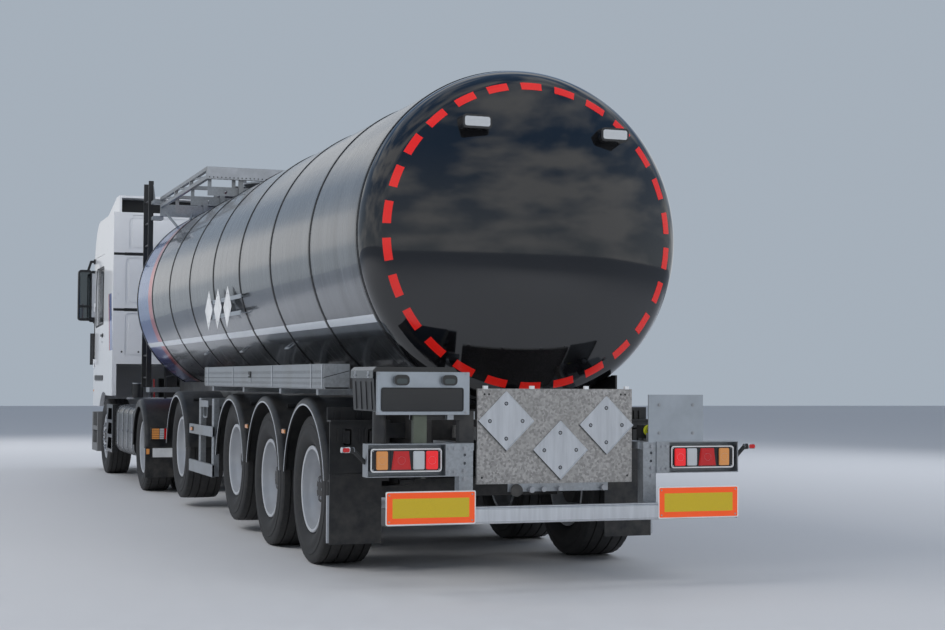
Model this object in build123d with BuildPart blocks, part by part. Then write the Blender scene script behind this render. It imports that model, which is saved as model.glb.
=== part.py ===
from build123d import *
import os
from math import asin, atan2, cos, pi, radians, sin, sqrt

# An articulated tanker: a two-axle tractor with a four-axle insulated tank semi-trailer.
# Millimetres, +X forward, +Y to the vehicle's left, +Z up, origin on the ground under the middle.
# A station is a distance forward of the faces of the rear marking plates.

# Trailer sizes
axle_4_station = 1950
axle_spacing = 1330
axle_1_station = 7370
kingpin_station = 10360
trailer_wheel_radius = 520
trailer_tyre_width = 385
trailer_track_half = 970
axle_lift = 80
tank_rear_edge = 862
tank_front_edge = 10800
tank_radius = 1122
tank_over_coupling = 49
coupling_height = 1070
trailer_half_width = 1200

# Tractor sizes
fifth_wheel_lead = 600
wheelbase = 3600
front_overhang = 1440
tractor_wheel_radius = 505
tractor_tyre_width = 315
front_track_half = 1018
drive_outer_face = 1200
twin_gap = 38
cab_half_width = 1200
cab_length = 2270
cab_floor_z = 1480
cab_roof_z = 3490
rail_half_spacing = 375
rail_top_z = 900
rail_depth = 260

# Clearances
run_gap = 0.1
seat_gap = 0.3
move_gap = 6

# Places worked out from the sizes
drive_axle_station = kingpin_station - fifth_wheel_lead
front_axle_station = drive_axle_station + wheelbase
overall_length = front_axle_station + front_overhang
cab_rear_station = overall_length - 40 - cab_length
tank_axis_z = coupling_height + tank_over_coupling + tank_radius
tank_bottom_z = tank_axis_z - tank_radius
tank_top_z = tank_axis_z + tank_radius


def at(station):
    """X of a station."""
    return station - overall_length / 2


def around(station, half):
    """X span of a piece that reaches a half length to either side of a station."""
    return (at(station) - half, at(station) + half)


def block(x_span, y_span, z_span, mode=Mode.ADD):
    """A box between a lowest and a highest X, Y and Z, in the part being built."""
    spans = (x_span, y_span, z_span)
    with Locations(tuple((low + high) / 2 for low, high in spans)):
        Box(*(high - low for low, high in spans), mode=mode)


def rod(start, end, radius, mode=Mode.ADD):
    """A round bar between two points, in the part being built."""
    start = Vector(*start)
    run = Vector(*end) - start
    with Locations(Plane(origin=start + run * 0.5, z_dir=run.normalized())):
        Cylinder(radius, run.length, mode=mode)


def side_plate(outline, y_span, mode=Mode.ADD):
    """A shape outlined in X and Z, between two distances in Y, in the part being built."""
    with BuildSketch(Plane.XZ.offset(-y_span[0])) as shape:
        with BuildLine():
            Polyline(*outline, close=True)
        make_face()
    extrude(shape.sketch, amount=y_span[0] - y_span[1], mode=mode)


def cross_plate(outline, x_span, mode=Mode.ADD):
    """A shape outlined in Y and Z, between two distances in X, in the part being built."""
    with BuildSketch(Plane.YZ.offset(x_span[0])) as shape:
        with BuildLine():
            Polyline(*outline, close=True)
        make_face()
    extrude(shape.sketch, amount=x_span[1] - x_span[0], mode=mode)


def rounded_plate(x_span, y_span, z_span, corner, mode=Mode.ADD):
    """A plate across X whose outline in Y and Z has rounded corners, in the part being built."""
    with BuildSketch(Plane.YZ.offset(x_span[0])) as shape:
        with Locations(((y_span[0] + y_span[1]) / 2, (z_span[0] + z_span[1]) / 2)):
            RectangleRounded(y_span[1] - y_span[0], z_span[1] - z_span[0], corner)
    extrude(shape.sketch, amount=x_span[1] - x_span[0], mode=mode)


def channel(x_span, y_web, y_edge, z_span, thickness):
    """A channel along X: an upright web at one Y and two flanges that reach to another."""
    toward = 1 if y_edge > y_web else -1
    web = sorted((y_web, y_web + toward * thickness))
    flange = sorted((y_web, y_edge))
    block(x_span, web, z_span)
    block(x_span, flange, (z_span[0], z_span[0] + thickness))
    block(x_span, flange, (z_span[1] - thickness, z_span[1]))


def add_air_spring(x, y, low, high, radius):
    """A rolling air spring: piston, bulging bellow and top plate, turned about its upright axis."""
    waist = low + 0.35 * (high - low)
    neck = 0.7 * radius
    with BuildSketch(Plane.XZ.offset(-y)) as half:
        with BuildLine():
            Polyline((x + neck, high), (x, high), (x, low), (x + neck - 12, low), (x + neck, waist))
            ThreePointArc((x + neck, waist), (x + radius, (waist + high) / 2), (x + neck, high))
        make_face()
    revolve(half.sketch, axis=Axis((x, y, 0), (0, 0, 1)))


def mirrored(side, low, high):
    """A Y span on the left for side 1, or its mirror image for side -1."""
    return (low, high) if side > 0 else (-high, -low)


def finish(builder, name):
    """Labels a finished piece and writes its STEP file."""
    builder.part.label = name
    export_step(builder.part, f"parts/{name}.step")


os.makedirs("parts", exist_ok=True)
sides = (("left", 1), ("right", -1))

# Trailer axles: number, station, height of the axle above the ground
trailer_axles = (
    (1, axle_1_station, trailer_wheel_radius + axle_lift),
    (2, axle_4_station + 2 * axle_spacing, trailer_wheel_radius + axle_lift),
    (3, axle_4_station + axle_spacing, trailer_wheel_radius),
    (4, axle_4_station, trailer_wheel_radius),
)

# Tank: one revolve of the barrel and two dished heads, with raised joint bands
crown_radius = 2 * tank_radius
knuckle_radius = 0.2 * tank_radius
knuckle_centre = tank_radius - knuckle_radius
head_reach = sqrt((crown_radius - knuckle_radius) ** 2 - knuckle_centre**2)
head_angle = atan2(knuckle_centre, head_reach)
band_height = 6
band_width = 46
# Widths of the cladding sheets from the rear to the front, scaled to the barrel
sheet_widths = (1264, 1280, 1210, 1200, 1270, 1250, 1230, 1187)
sheet_scale = (tank_front_edge - tank_rear_edge - band_width) / sum(sheet_widths)
band_stations = [tank_rear_edge + band_width / 2]
for sheet_width in sheet_widths:
    band_stations.append(band_stations[-1] + sheet_width * sheet_scale)

manhole_station = tank_front_edge - 2200
manhole_radius = 250
manhole_top_z = tank_top_z + 90
neck_flange = 20
lid_radius = manhole_radius + neck_flange
lid_edge = 16
lid_rise = 40
lid_z = manhole_top_z + seat_gap
lid_pin_radius = 14
lid_hinge_x = at(manhole_station) - lid_radius - 30
lid_hinge_z = lid_z + lid_pin_radius
lid_barrel_half = 60
lug_width = 24
grip_half = 70
grip_radius = 12


def head_points(edge_x, outward, grow):
    """Barrel end, knuckle middle, knuckle end, crown middle and pole of one head, as (x, radius)."""
    centre_x = edge_x - outward * head_reach
    knuckle = knuckle_radius + grow
    crown = crown_radius + grow
    half_turn = (pi / 2 + head_angle) / 2
    return (
        (edge_x, tank_radius + grow),
        (edge_x + outward * knuckle * cos(half_turn), knuckle_centre + knuckle * sin(half_turn)),
        (centre_x + outward * crown * cos(head_angle), crown * sin(head_angle)),
        (centre_x + outward * crown * cos(head_angle / 2), crown * sin(head_angle / 2)),
        (centre_x + outward * crown, 0),
    )


def revolve_tank_outline(grow):
    """Revolves the tank's half outline, grown by a clearance, about the tank's axis."""
    rear = head_points(at(tank_rear_edge), -1, grow)
    front = head_points(at(tank_front_edge), 1, grow)
    with BuildSketch(Plane.XZ) as half_outline:
        with BuildLine():
            for head in (rear, front):
                edge, knuckle_mid, knuckle_end, crown_mid, pole = (
                    (x, tank_axis_z + radius) for x, radius in head
                )
                ThreePointArc(edge, knuckle_mid, knuckle_end)
                ThreePointArc(knuckle_end, crown_mid, pole)
            Line((rear[0][0], tank_axis_z + rear[0][1]), (front[0][0], tank_axis_z + front[0][1]))
            Line((rear[4][0], tank_axis_z), (front[4][0], tank_axis_z))
        make_face()
    revolve(half_outline.sketch, axis=Axis((0, 0, tank_axis_z), (1, 0, 0)))


# Forms of the tank over its bands and of its plain skin, with a seat's clearance, cut out of what it meets
with BuildPart(mode=Mode.PRIVATE) as tank_seat:
    revolve_tank_outline(band_height + seat_gap)
with BuildPart(mode=Mode.PRIVATE) as skin_seat:
    revolve_tank_outline(seat_gap)

with BuildPart() as tank:
    revolve_tank_outline(0)
    with BuildSketch(Plane.XZ):
        with Locations(*((at(station), tank_top_z) for station in band_stations)):
            Rectangle(band_width, 2 * band_height)
    revolve(axis=Axis((0, 0, tank_axis_z), (1, 0, 0)))
    # Manhole neck with its flange
    neck_base_z = tank_top_z - 60
    for neck_low_z, neck_radius in ((neck_base_z, manhole_radius), (manhole_top_z - neck_flange, lid_radius)):
        with BuildSketch(Plane.XY.offset(neck_low_z)):
            with Locations((at(manhole_station), 0)):
                Circle(neck_radius)
        extrude(amount=manhole_top_z - neck_low_z)
    # Hinge lugs on the neck, either side of the lid's barrel
    for name, side in sides:
        lug_y = mirrored(side, lid_barrel_half + seat_gap, lid_barrel_half + lug_width)
        lug_x = (lid_hinge_x - lid_pin_radius, at(manhole_station) - manhole_radius + 50)
        block(lug_x, lug_y, (manhole_top_z - 2 * neck_flange, manhole_top_z))
        rod((lid_hinge_x, lug_y[0], lid_hinge_z), (lid_hinge_x, lug_y[1], lid_hinge_z), lid_pin_radius)
        eye_x = (lid_hinge_x - lid_pin_radius, lid_hinge_x + lid_pin_radius)
        block(eye_x, lug_y, (manhole_top_z - neck_flange, lid_hinge_z))
finish(tank, "tank")

# Manhole lid: a domed cover with a hinge barrel at its rear, between the lugs of the tank's neck
with BuildPart() as manhole_lid:
    with BuildSketch(Plane.XZ) as half_lid:
        with BuildLine():
            lid_x = at(manhole_station)
            lid_top_z = lid_z + lid_edge
            dome_radius = lid_radius - 30
            Polyline(
                (lid_x, lid_top_z + lid_rise),
                (lid_x, lid_z),
                (lid_x + lid_radius, lid_z),
                (lid_x + lid_radius, lid_top_z),
                (lid_x + dome_radius, lid_top_z),
            )
            sphere_radius = (dome_radius**2 + lid_rise**2) / (2 * lid_rise)
            half_turn = asin(dome_radius / sphere_radius) / 2
            dome_drop = sphere_radius * (1 - cos(half_turn))
            dome_middle = (lid_x + sphere_radius * sin(half_turn), lid_top_z + lid_rise - dome_drop)
            ThreePointArc((lid_x + dome_radius, lid_top_z), dome_middle, (lid_x, lid_top_z + lid_rise))
        make_face()
    revolve(half_lid.sketch, axis=Axis((lid_x, 0, 0), (0, 0, 1)))
    barrel_ends = ((lid_hinge_x, -lid_barrel_half, lid_hinge_z), (lid_hinge_x, lid_barrel_half, lid_hinge_z))
    rod(*barrel_ends, lid_pin_radius)
    block((lid_hinge_x, lid_x), (-lid_barrel_half + 10, lid_barrel_half - 10), (lid_z, lid_hinge_z + lid_pin_radius))
    grip_x = lid_x + lid_radius - 60
    grip_z = lid_z + 60
    rod((grip_x, -grip_half - grip_radius, grip_z), (grip_x, grip_half + grip_radius, grip_z), grip_radius)
    for y in (-grip_half, grip_half):
        rod((grip_x, y, lid_z + lid_edge / 2), (grip_x, y, grip_z), grip_radius)
finish(manhole_lid, "manhole_lid")

# Trailer frame: two bearers under the tank, the kingpin plate, cross members and landing legs
bearer_half = 600
bearer_width = 110
bearer_bottom_z = coupling_height - 210
bearer_top_z = coupling_height + 260
bearer_flange_z = coupling_height + 120
bearer_rear = 720
bearer_front = 8350
bearer_outer_y = bearer_half + bearer_width / 2
bearer_inner_y = bearer_half - bearer_width / 2
steel_thickness = 12
neck_bearer_half = 490
neck_outer_y = neck_bearer_half + bearer_width / 2
neck_inner_y = neck_bearer_half - bearer_width / 2
neck_rear = 8150
neck_front = kingpin_station + 700
kingpin_radius = 25.4
kingpin_length = 84
rub_plate_half = 550
rub_plate_reach = 620
neck_bottom_z = coupling_height + steel_thickness
landing_station = 8230
landing_half = 760
landing_shaft_z = 700
brace_foot_z = 570
# Stations of the cross members between the bearers and under the neck
cross_stations = (bearer_rear + 80, 2615, 3945, 5276, 6700, landing_station)
neck_cross_stations = (9000, 9700, kingpin_station, neck_front - 60)
# Landing leg from the top down: half length, half width, lowest and highest Z
leg_steps = ((60, 75, 480, 1150), (45, 60, 400, 480), (130, 100, 380, 400))
with BuildPart() as trailer_frame:
    for name, side in sides:
        bearer_x = (at(bearer_rear), at(bearer_front))
        channel(bearer_x, side * bearer_outer_y, side * bearer_inner_y, (bearer_bottom_z, bearer_flange_z), steel_thickness)
        web_y = mirrored(side, bearer_outer_y - steel_thickness, bearer_outer_y)
        block(bearer_x, web_y, (bearer_bottom_z, bearer_top_z))
        neck_x = (at(neck_rear), at(neck_front))
        channel(neck_x, side * neck_outer_y, side * neck_inner_y, (neck_bottom_z, bearer_flange_z), steel_thickness)
        web_y = mirrored(side, neck_outer_y - steel_thickness, neck_outer_y)
        block(neck_x, web_y, (neck_bottom_z, bearer_top_z))
    cross_half = bearer_outer_y - steel_thickness / 2
    for station in cross_stations:
        block(around(station, 60), (-cross_half, cross_half), (bearer_bottom_z + 40, neck_bottom_z + 20))
    cross_half = neck_outer_y - steel_thickness / 2
    for station in neck_cross_stations:
        block(around(station, 50), (-cross_half, cross_half), (neck_bottom_z, tank_bottom_z + 30))
    rub_plate_x = (at(kingpin_station - rub_plate_reach), at(neck_front))
    block(rub_plate_x, (-rub_plate_half, rub_plate_half), (coupling_height, neck_bottom_z))
    kingpin_x = at(kingpin_station)
    rod((kingpin_x, 0, coupling_height - kingpin_length), (kingpin_x, 0, neck_bottom_z), kingpin_radius)
    # Landing legs, raised for the road, with their braces and cross shaft
    landing_x = at(landing_station)
    for name, side in sides:
        for half_length, half_width, low_z, high_z in leg_steps:
            leg_y = mirrored(side, landing_half - half_width, landing_half + half_width)
            block(around(landing_station, half_length), leg_y, (low_z, high_z))
        leg_arm_y = mirrored(side, bearer_outer_y - steel_thickness, landing_half)
        block(around(landing_station, 60), leg_arm_y, (bearer_bottom_z + 90, coupling_height))
        brace_foot = (landing_x, side * (landing_half - 50), brace_foot_z)
        rod(brace_foot, (landing_x, side * landing_half / 2, bearer_bottom_z + 60), 22)
    rod((landing_x, -landing_half, landing_shaft_z), (landing_x, landing_half, landing_shaft_z), 25)
    add(tank_seat.part, mode=Mode.SUBTRACT)
finish(trailer_frame, "trailer_frame")

# Trailer axles: square beams with stub ends, trailing arms in hangers, air springs, shock absorbers
stub_radius = 55
hub_inner_half = 800
stub_reach = 60
axle_square = 130
arm_half_width = 45
hanger_lead = 470
hanger_plate = 14
arm_pin_z = 55
arm_pin_radius = 24
bag_trail = 400
bag_radius = 140
chamber_radius = 75
chamber_y = 420
shock_radius = 28
# Trailing arm from its pin back to the air spring: distance ahead of the axle, height above it
arm_outline = ((520, 20), (520, 95), (90, 125), (-90, 125), (-520, 85), (-520, 55), (-110, 20), (110, 20))
# Hanger: distance ahead of the arm's pin, height above the axle, with its top at the bearer
hanger_foot = ((-55, -10), (55, -10))
hanger_top_half = 105
with BuildPart() as trailer_running_gear:
    for number, station, height in trailer_axles:
        x = at(station)
        beam_half = hub_inner_half - 90
        beam_z = (height - axle_square / 2, height + axle_square / 2)
        block(around(station, axle_square / 2), (-beam_half, beam_half), beam_z)
        stub_end = trailer_track_half + stub_reach
        rod((x, -stub_end, height), (x, stub_end, height), stub_radius)
        for name, side in sides:
            arm_y = mirrored(side, bearer_half - arm_half_width, bearer_half + arm_half_width)
            side_plate([(x + ahead, height + above) for ahead, above in arm_outline], arm_y)
            hanger_x = x + hanger_lead
            hanger = [(hanger_x + ahead, height + above) for ahead, above in hanger_foot]
            hanger += [(hanger_x + hanger_top_half, bearer_bottom_z), (hanger_x - hanger_top_half, bearer_bottom_z)]
            for low_y in (bearer_half - arm_half_width - hanger_plate, bearer_half + arm_half_width):
                side_plate(hanger, mirrored(side, low_y, low_y + hanger_plate))
            pin_y = mirrored(side, bearer_half - 75, bearer_half + 75)
            pin_z = height + arm_pin_z
            rod((hanger_x, pin_y[0], pin_z), (hanger_x, pin_y[1], pin_z), arm_pin_radius)
            add_air_spring(x - bag_trail, side * bearer_half, height + 60, bearer_bottom_z, bag_radius)
            # Brake chamber ahead of the beam and shock absorber behind the hanger
            chamber_start = (x + axle_square / 2 - 5, side * chamber_y, height + 20)
            rod(chamber_start, (x + 250, side * chamber_y, height + 20), chamber_radius)
            shock_y = side * (bearer_inner_y - shock_radius)
            rod((x - 40, shock_y, height + 30), (x + 210, shock_y, bearer_bottom_z - 20), shock_radius)
            bracket_y = mirrored(side, bearer_inner_y - 2 * shock_radius, bearer_inner_y + 40)
            block((x + 160, x + 250), bracket_y, (bearer_bottom_z - 30, bearer_bottom_z))
finish(trailer_running_gear, "trailer_running_gear")

# Wheels
rim_radius = 286
flange_radius = 305
flange_width = 12
trailer_rim_half = 150
tractor_rim_half = 115
well_half = 40
well_depth = 20
rim_wall = 12
wheel_bore = stub_radius + run_gap
hub_radius = 112
hub_nose_radius = 96
hub_depth = 150
disc_flat_radius = 190
disc_thickness = 14
hand_hole_count = 10
hand_hole_radius = 21
hand_hole_circle = 222
# Curve of a disc from its flat to the well: share of the way out, share of the rise
disc_curve = ((0, 0), (0.35, 0.45), (0.75, 0.95), (1, 1))


def add_tyre(x, y, z, radius, width, bead_half):
    """A tyre as one revolve about its axle: bead, cone side walls, shoulders and tread face."""
    half = width / 2
    seat = rim_radius + seat_gap
    wall_z = seat + 0.45 * (radius - seat)
    outline = (
        (bead_half - seat_gap, seat),
        (bead_half - seat_gap, flange_radius + 3),
        (half, wall_z),
        (half - 14, radius - 32),
        (half - 40, radius),
        (40 - half, radius),
        (14 - half, radius - 32),
        (-half, wall_z),
        (seat_gap - bead_half, flange_radius + 3),
        (seat_gap - bead_half, seat),
    )
    with BuildSketch(Plane.YZ.offset(x)) as section:
        with BuildLine():
            Polyline(*((y + across, z + up) for across, up in outline), close=True)
        make_face()
    revolve(section.sketch, axis=Axis((x, 0, z), (0, 1, 0)))


def add_rim(x, y, z, outward, bead_half, disc_offset, well_offset):
    """A disc wheel: a drop-centre barrel and a dished disc as one revolve, with a ring of hand holes."""
    barrel = (
        (-bead_half - flange_width, flange_radius),
        (-bead_half, flange_radius),
        (-bead_half, rim_radius),
        (-well_half, rim_radius - well_depth),
        (well_half, rim_radius - well_depth),
        (bead_half, rim_radius),
        (bead_half, flange_radius),
        (bead_half + flange_width, flange_radius),
        (bead_half + flange_width, rim_radius - rim_wall),
        (bead_half - 8, rim_radius - rim_wall),
        (well_half, rim_radius - well_depth - rim_wall),
        (-well_half, rim_radius - well_depth - rim_wall),
        (8 - bead_half, rim_radius - rim_wall),
        (-bead_half - flange_width, rim_radius - rim_wall),
    )
    edge_radius = rim_radius - well_depth - 2
    curve = [
        (disc_offset + rise * (well_offset - disc_offset), disc_flat_radius + out * (edge_radius - disc_flat_radius))
        for out, rise in disc_curve
    ]
    disc = [(disc_offset, hub_radius - 10), *curve]
    disc += [(across + disc_thickness, up) for across, up in reversed(disc)]
    with BuildSketch(Plane.YZ.offset(x)) as section:
        for outline in (barrel, disc):
            with BuildLine():
                Polyline(*((y + outward * across, z + up) for across, up in outline), close=True)
            make_face()
    revolve(section.sketch, axis=Axis((x, 0, z), (0, 1, 0)))
    hole_middle = (disc_offset + well_offset + disc_thickness) / 2
    with Locations(Plane(origin=(x, y + outward * hole_middle, z), z_dir=(0, 1, 0))):
        with PolarLocations(hand_hole_circle, hand_hole_count):
            hole_length = abs(well_offset - disc_offset) + 60
            Cylinder(hand_hole_radius, hole_length, mode=Mode.SUBTRACT)


def add_hub(x, z, side, inner_y, stub_end_y, nose_y):
    """A hub round its stub axle, closed by a cap past the stub's end."""
    bore_end = stub_end_y + move_gap
    outline = (
        (inner_y, wheel_bore),
        (inner_y, hub_radius),
        (nose_y - 45, hub_radius),
        (nose_y - 12, hub_nose_radius),
        (nose_y, hub_nose_radius - 14),
        (nose_y, 0),
        (bore_end, 0),
        (bore_end, wheel_bore),
    )
    with BuildSketch(Plane.YZ.offset(x)) as section:
        with BuildLine():
            Polyline(*((side * across, z + up) for across, up in outline), close=True)
        make_face()
    revolve(section.sketch, axis=Axis((x, 0, z), (0, 1, 0)))


trailer_hub_nose = trailer_track_half + 105
for number, station, height in trailer_axles:
    for name, side in sides:
        x = at(station)
        wheel_y = side * trailer_track_half
        with BuildPart() as tyre:
            add_tyre(x, wheel_y, height, trailer_wheel_radius, trailer_tyre_width, trailer_rim_half)
        finish(tyre, f"trailer_tyre_{number}_{name}")
        with BuildPart() as rim:
            add_rim(x, wheel_y, height, side, trailer_rim_half, 0, 30)
            hub_inner = trailer_track_half - hub_depth
            add_hub(x, height, side, hub_inner, trailer_track_half + stub_reach, trailer_hub_nose)
        finish(rim, f"trailer_rim_{number}_{name}")

front_z = tractor_wheel_radius
front_disc_offset = 115
for name, side in sides:
    x = at(front_axle_station)
    wheel_y = side * front_track_half
    with BuildPart() as tyre:
        add_tyre(x, wheel_y, front_z, tractor_wheel_radius, tractor_tyre_width, tractor_rim_half)
    finish(tyre, f"front_tyre_{name}")
    with BuildPart() as rim:
        add_rim(x, wheel_y, front_z, side, tractor_rim_half, front_disc_offset, 10)
        hub_inner = front_track_half + front_disc_offset - hub_depth
        add_hub(x, front_z, side, hub_inner, front_track_half + stub_reach, front_track_half + hub_depth)
    finish(rim, f"front_rim_{name}")

drive_outer_y = drive_outer_face - tractor_tyre_width / 2
drive_inner_y = drive_outer_y - tractor_tyre_width - twin_gap
twin_disc_offset = (drive_inner_y - drive_outer_y) / 2
for name, side in sides:
    x = at(drive_axle_station)
    with BuildPart() as tyre:
        for y in (drive_outer_y, drive_inner_y):
            add_tyre(x, side * y, front_z, tractor_wheel_radius, tractor_tyre_width, tractor_rim_half)
    finish(tyre, f"drive_tyres_{name}")
    with BuildPart() as rim:
        add_rim(x, side * drive_outer_y, front_z, side, tractor_rim_half, twin_disc_offset, -20)
        add_rim(x, side * drive_inner_y, front_z, -side, tractor_rim_half, twin_disc_offset, -20)
        hub_inner = drive_outer_y + twin_disc_offset - hub_depth
        add_hub(x, front_z, side, hub_inner, drive_outer_y, drive_outer_y + 40)
    finish(rim, f"drive_rims_{name}")

# Mudguards: one thin moulded crown over each wheel with a rolled lip along its outer edge
guard_outer_radius = trailer_wheel_radius + axle_lift + 45
guard_lip_radius = guard_outer_radius - 55
guard_thickness = 8
guard_corner = 40
guard_bead = 14
guard_inner_y = 765
guard_low_angle = 9
guard_arm_radius = 18
guard_arm_angles = (60, 120)
valance_station = axle_4_station - guard_outer_radius - 5
valance_top_z = 1165
valance_ledge_z = 1020
flap_bottom_z = 195


def add_arch(x, z, side, inner_y, outer_y, outer_radius, lip_radius, low_angle):
    """A crown with rounded shoulders and a lip at each edge, turned about an axle from a low angle to its mirror."""
    inner_lip = outer_radius - 30
    shoulder = guard_corner * cos(radians(45))
    centre = (outer_y - guard_corner, outer_radius - guard_corner)
    thin_corner = guard_corner - guard_thickness
    thin_shoulder = thin_corner * cos(radians(45))
    turn = radians(low_angle)
    start = Plane(origin=(x, 0, z), x_dir=(0, side, 0), z_dir=(side * sin(turn), 0, -side * cos(turn)))
    with BuildSketch(start) as section:
        with BuildLine():
            Polyline((inner_y, inner_lip), (inner_y, outer_radius), (centre[0], outer_radius))
            ThreePointArc(
                (centre[0], outer_radius),
                (centre[0] + shoulder, centre[1] + shoulder),
                (outer_y, centre[1]),
            )
            Polyline(
                (outer_y, centre[1]),
                (outer_y, lip_radius),
                (outer_y - guard_bead, lip_radius),
                (outer_y - guard_bead, lip_radius + guard_thickness),
                (outer_y - guard_thickness, lip_radius + guard_thickness),
                (outer_y - guard_thickness, centre[1]),
            )
            ThreePointArc(
                (outer_y - guard_thickness, centre[1]),
                (centre[0] + thin_shoulder, centre[1] + thin_shoulder),
                (centre[0], outer_radius - guard_thickness),
            )
            Polyline(
                (centre[0], outer_radius - guard_thickness),
                (inner_y + guard_thickness, outer_radius - guard_thickness),
                (inner_y + guard_thickness, inner_lip),
                (inner_y, inner_lip),
            )
        make_face()
    revolve(section.sketch, axis=Axis((x, 0, z), (0, -1, 0)), revolution_arc=180 - 2 * low_angle)


with BuildPart() as trailer_mudguards:
    for number, station, height in trailer_axles:
        x = at(station)
        z = trailer_wheel_radius
        for name, side in sides:
            arch_size = (guard_inner_y, trailer_half_width, guard_outer_radius, guard_lip_radius, guard_low_angle)
            add_arch(x, z, side, *arch_size)
            # Carrying arms from the bearer over the crown
            for angle in guard_arm_angles:
                arm_reach = guard_outer_radius + guard_arm_radius / 2
                arm_x = x + arm_reach * cos(radians(angle))
                arm_z = z + arm_reach * sin(radians(angle))
                arm_ends = (side * (bearer_outer_y + seat_gap), side * (trailer_half_width - 120))
                rod((arm_x, arm_ends[0], arm_z), (arm_x, arm_ends[1], arm_z), guard_arm_radius)
    # Panels behind the last wheels with their ledges, ribs and flaps
    valance_x = at(valance_station)
    panel_foot_z = trailer_wheel_radius + guard_outer_radius * sin(radians(guard_low_angle))
    for name, side in sides:
        panel_y = mirrored(side, guard_inner_y, trailer_half_width - guard_corner / 2)
        block((valance_x - 10, valance_x), panel_y, (panel_foot_z, valance_ledge_z))
        block((valance_x - 10, valance_x + 40), panel_y, (panel_foot_z - 10, panel_foot_z + 2))
        block((valance_x - 30, valance_x + 70), panel_y, (valance_ledge_z - 10, valance_ledge_z))
        block((valance_x + 60, valance_x + 70), panel_y, (valance_ledge_z - 10, valance_top_z - 60))
        for rib_y in (935, 975, 1085, 1125):
            block((valance_x - 22, valance_x - 10), mirrored(side, rib_y - 6, rib_y + 6), (870, 960))
            block((valance_x + 48, valance_x + 60), mirrored(side, rib_y - 6, rib_y + 6), (valance_ledge_z, 1080))
        flap_y = mirrored(side, 820, trailer_half_width - guard_corner / 2)
        block((valance_x - 18, valance_x - 10), flap_y, (flap_bottom_z, panel_foot_z + 40))
        block((valance_x - 10, valance_x + 10), mirrored(side, bearer_outer_y + seat_gap, 800), (900, 1000))
finish(trailer_mudguards, "trailer_mudguards")

# Side guards: two open box rails on two perforated posts between the first and second axles
guard_rail_y = trailer_half_width + 15
guard_rail_depth = 25
guard_rail_wall = 3
guard_rail_stations = (5280, 6480)
guard_rail_heights = ((770, 860), (410, 520))
guard_post_stations = (5400, 6050)
guard_post_half = 50
guard_post_top_z = 1110
guard_post_hole_count = 12
guard_post_hole_pitch = 50
guard_post_hole_radius = 9
guard_post_hole_z = 740
loop_size = (200, 130)
loop_bar = 12
with BuildPart() as side_guards:
    for name, side in sides:
        rail_x = tuple(at(station) for station in guard_rail_stations)
        rail_y = mirrored(side, guard_rail_y - guard_rail_depth, guard_rail_y)
        hollow_y = (rail_y[0] + guard_rail_wall, rail_y[1] - guard_rail_wall)
        post_y = mirrored(side, guard_rail_y - 75, guard_rail_y - guard_rail_depth)
        for station in guard_post_stations:
            post_x = around(station, guard_post_half)
            block(post_x, post_y, (guard_rail_heights[1][0], guard_post_top_z))
            inner_x = around(station, guard_post_half - 5)
            inner_y = mirrored(side, guard_rail_y - 80, guard_rail_y - guard_rail_depth - 5)
            block(inner_x, inner_y, (0, guard_post_top_z - 60), mode=Mode.SUBTRACT)
            bracket_y = mirrored(side, bearer_outer_y + seat_gap, guard_rail_y - 70)
            block(around(station, 40), bracket_y, (guard_post_top_z - 70, guard_post_top_z))
            hole_origin = (at(station), side * (guard_rail_y - guard_rail_depth), guard_post_hole_z)
            with Locations(Plane(origin=hole_origin, x_dir=(0, 0, 1), z_dir=(0, 1, 0))):
                with GridLocations(guard_post_hole_pitch, 2 * guard_post_hole_pitch, guard_post_hole_count, 1):
                    Cylinder(guard_post_hole_radius, 30, mode=Mode.SUBTRACT)
        for low, high in guard_rail_heights:
            block(rail_x, rail_y, (low, high))
            block(rail_x, hollow_y, (low + guard_rail_wall, high - guard_rail_wall), mode=Mode.SUBTRACT)
        # Plate between the posts' tops with a rounded loop below it
        tie_y = mirrored(side, guard_rail_y - guard_rail_depth - 8, guard_rail_y - guard_rail_depth)
        block((at(5650), at(6050)), tie_y, (guard_post_top_z - 80, guard_post_top_z - 20))
        with BuildSketch(Plane.XZ.offset(-tie_y[0])) as loop:
            with Locations((at(5800), guard_post_top_z - 115)):
                RectangleRounded(*loop_size, 45)
                RectangleRounded(*(size - 2 * loop_bar for size in loop_size), 33, mode=Mode.SUBTRACT)
        extrude(loop.sketch, amount=tie_y[0] - tie_y[1])
finish(side_guards, "side_guards")

box_pin_radius = 8
box_barrel = 50


def add_barrels(stations, inner_y, hinge_z, ahead):
    """Hinge barrels beside a box's inner wall, the lid's ahead of each station and the box's behind it."""
    pin_y = inner_y - box_pin_radius - seat_gap
    leaf = 20
    for station in stations:
        start = at(station) + (seat_gap if ahead else -box_barrel)
        leaf_x = (start, start + box_barrel)
        rod((leaf_x[0], pin_y, hinge_z), (leaf_x[1], pin_y, hinge_z), box_pin_radius)
        leaf_z = (hinge_z, hinge_z + leaf) if ahead else (hinge_z - leaf, hinge_z)
        block(leaf_x, (pin_y - box_pin_radius, pin_y), leaf_z)
        clear = box_pin_radius + 2
        arm_z = (hinge_z + clear, hinge_z + leaf) if ahead else (hinge_z - leaf, hinge_z - clear)
        block(leaf_x, (pin_y - box_pin_radius, inner_y + 2), arm_z)


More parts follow.
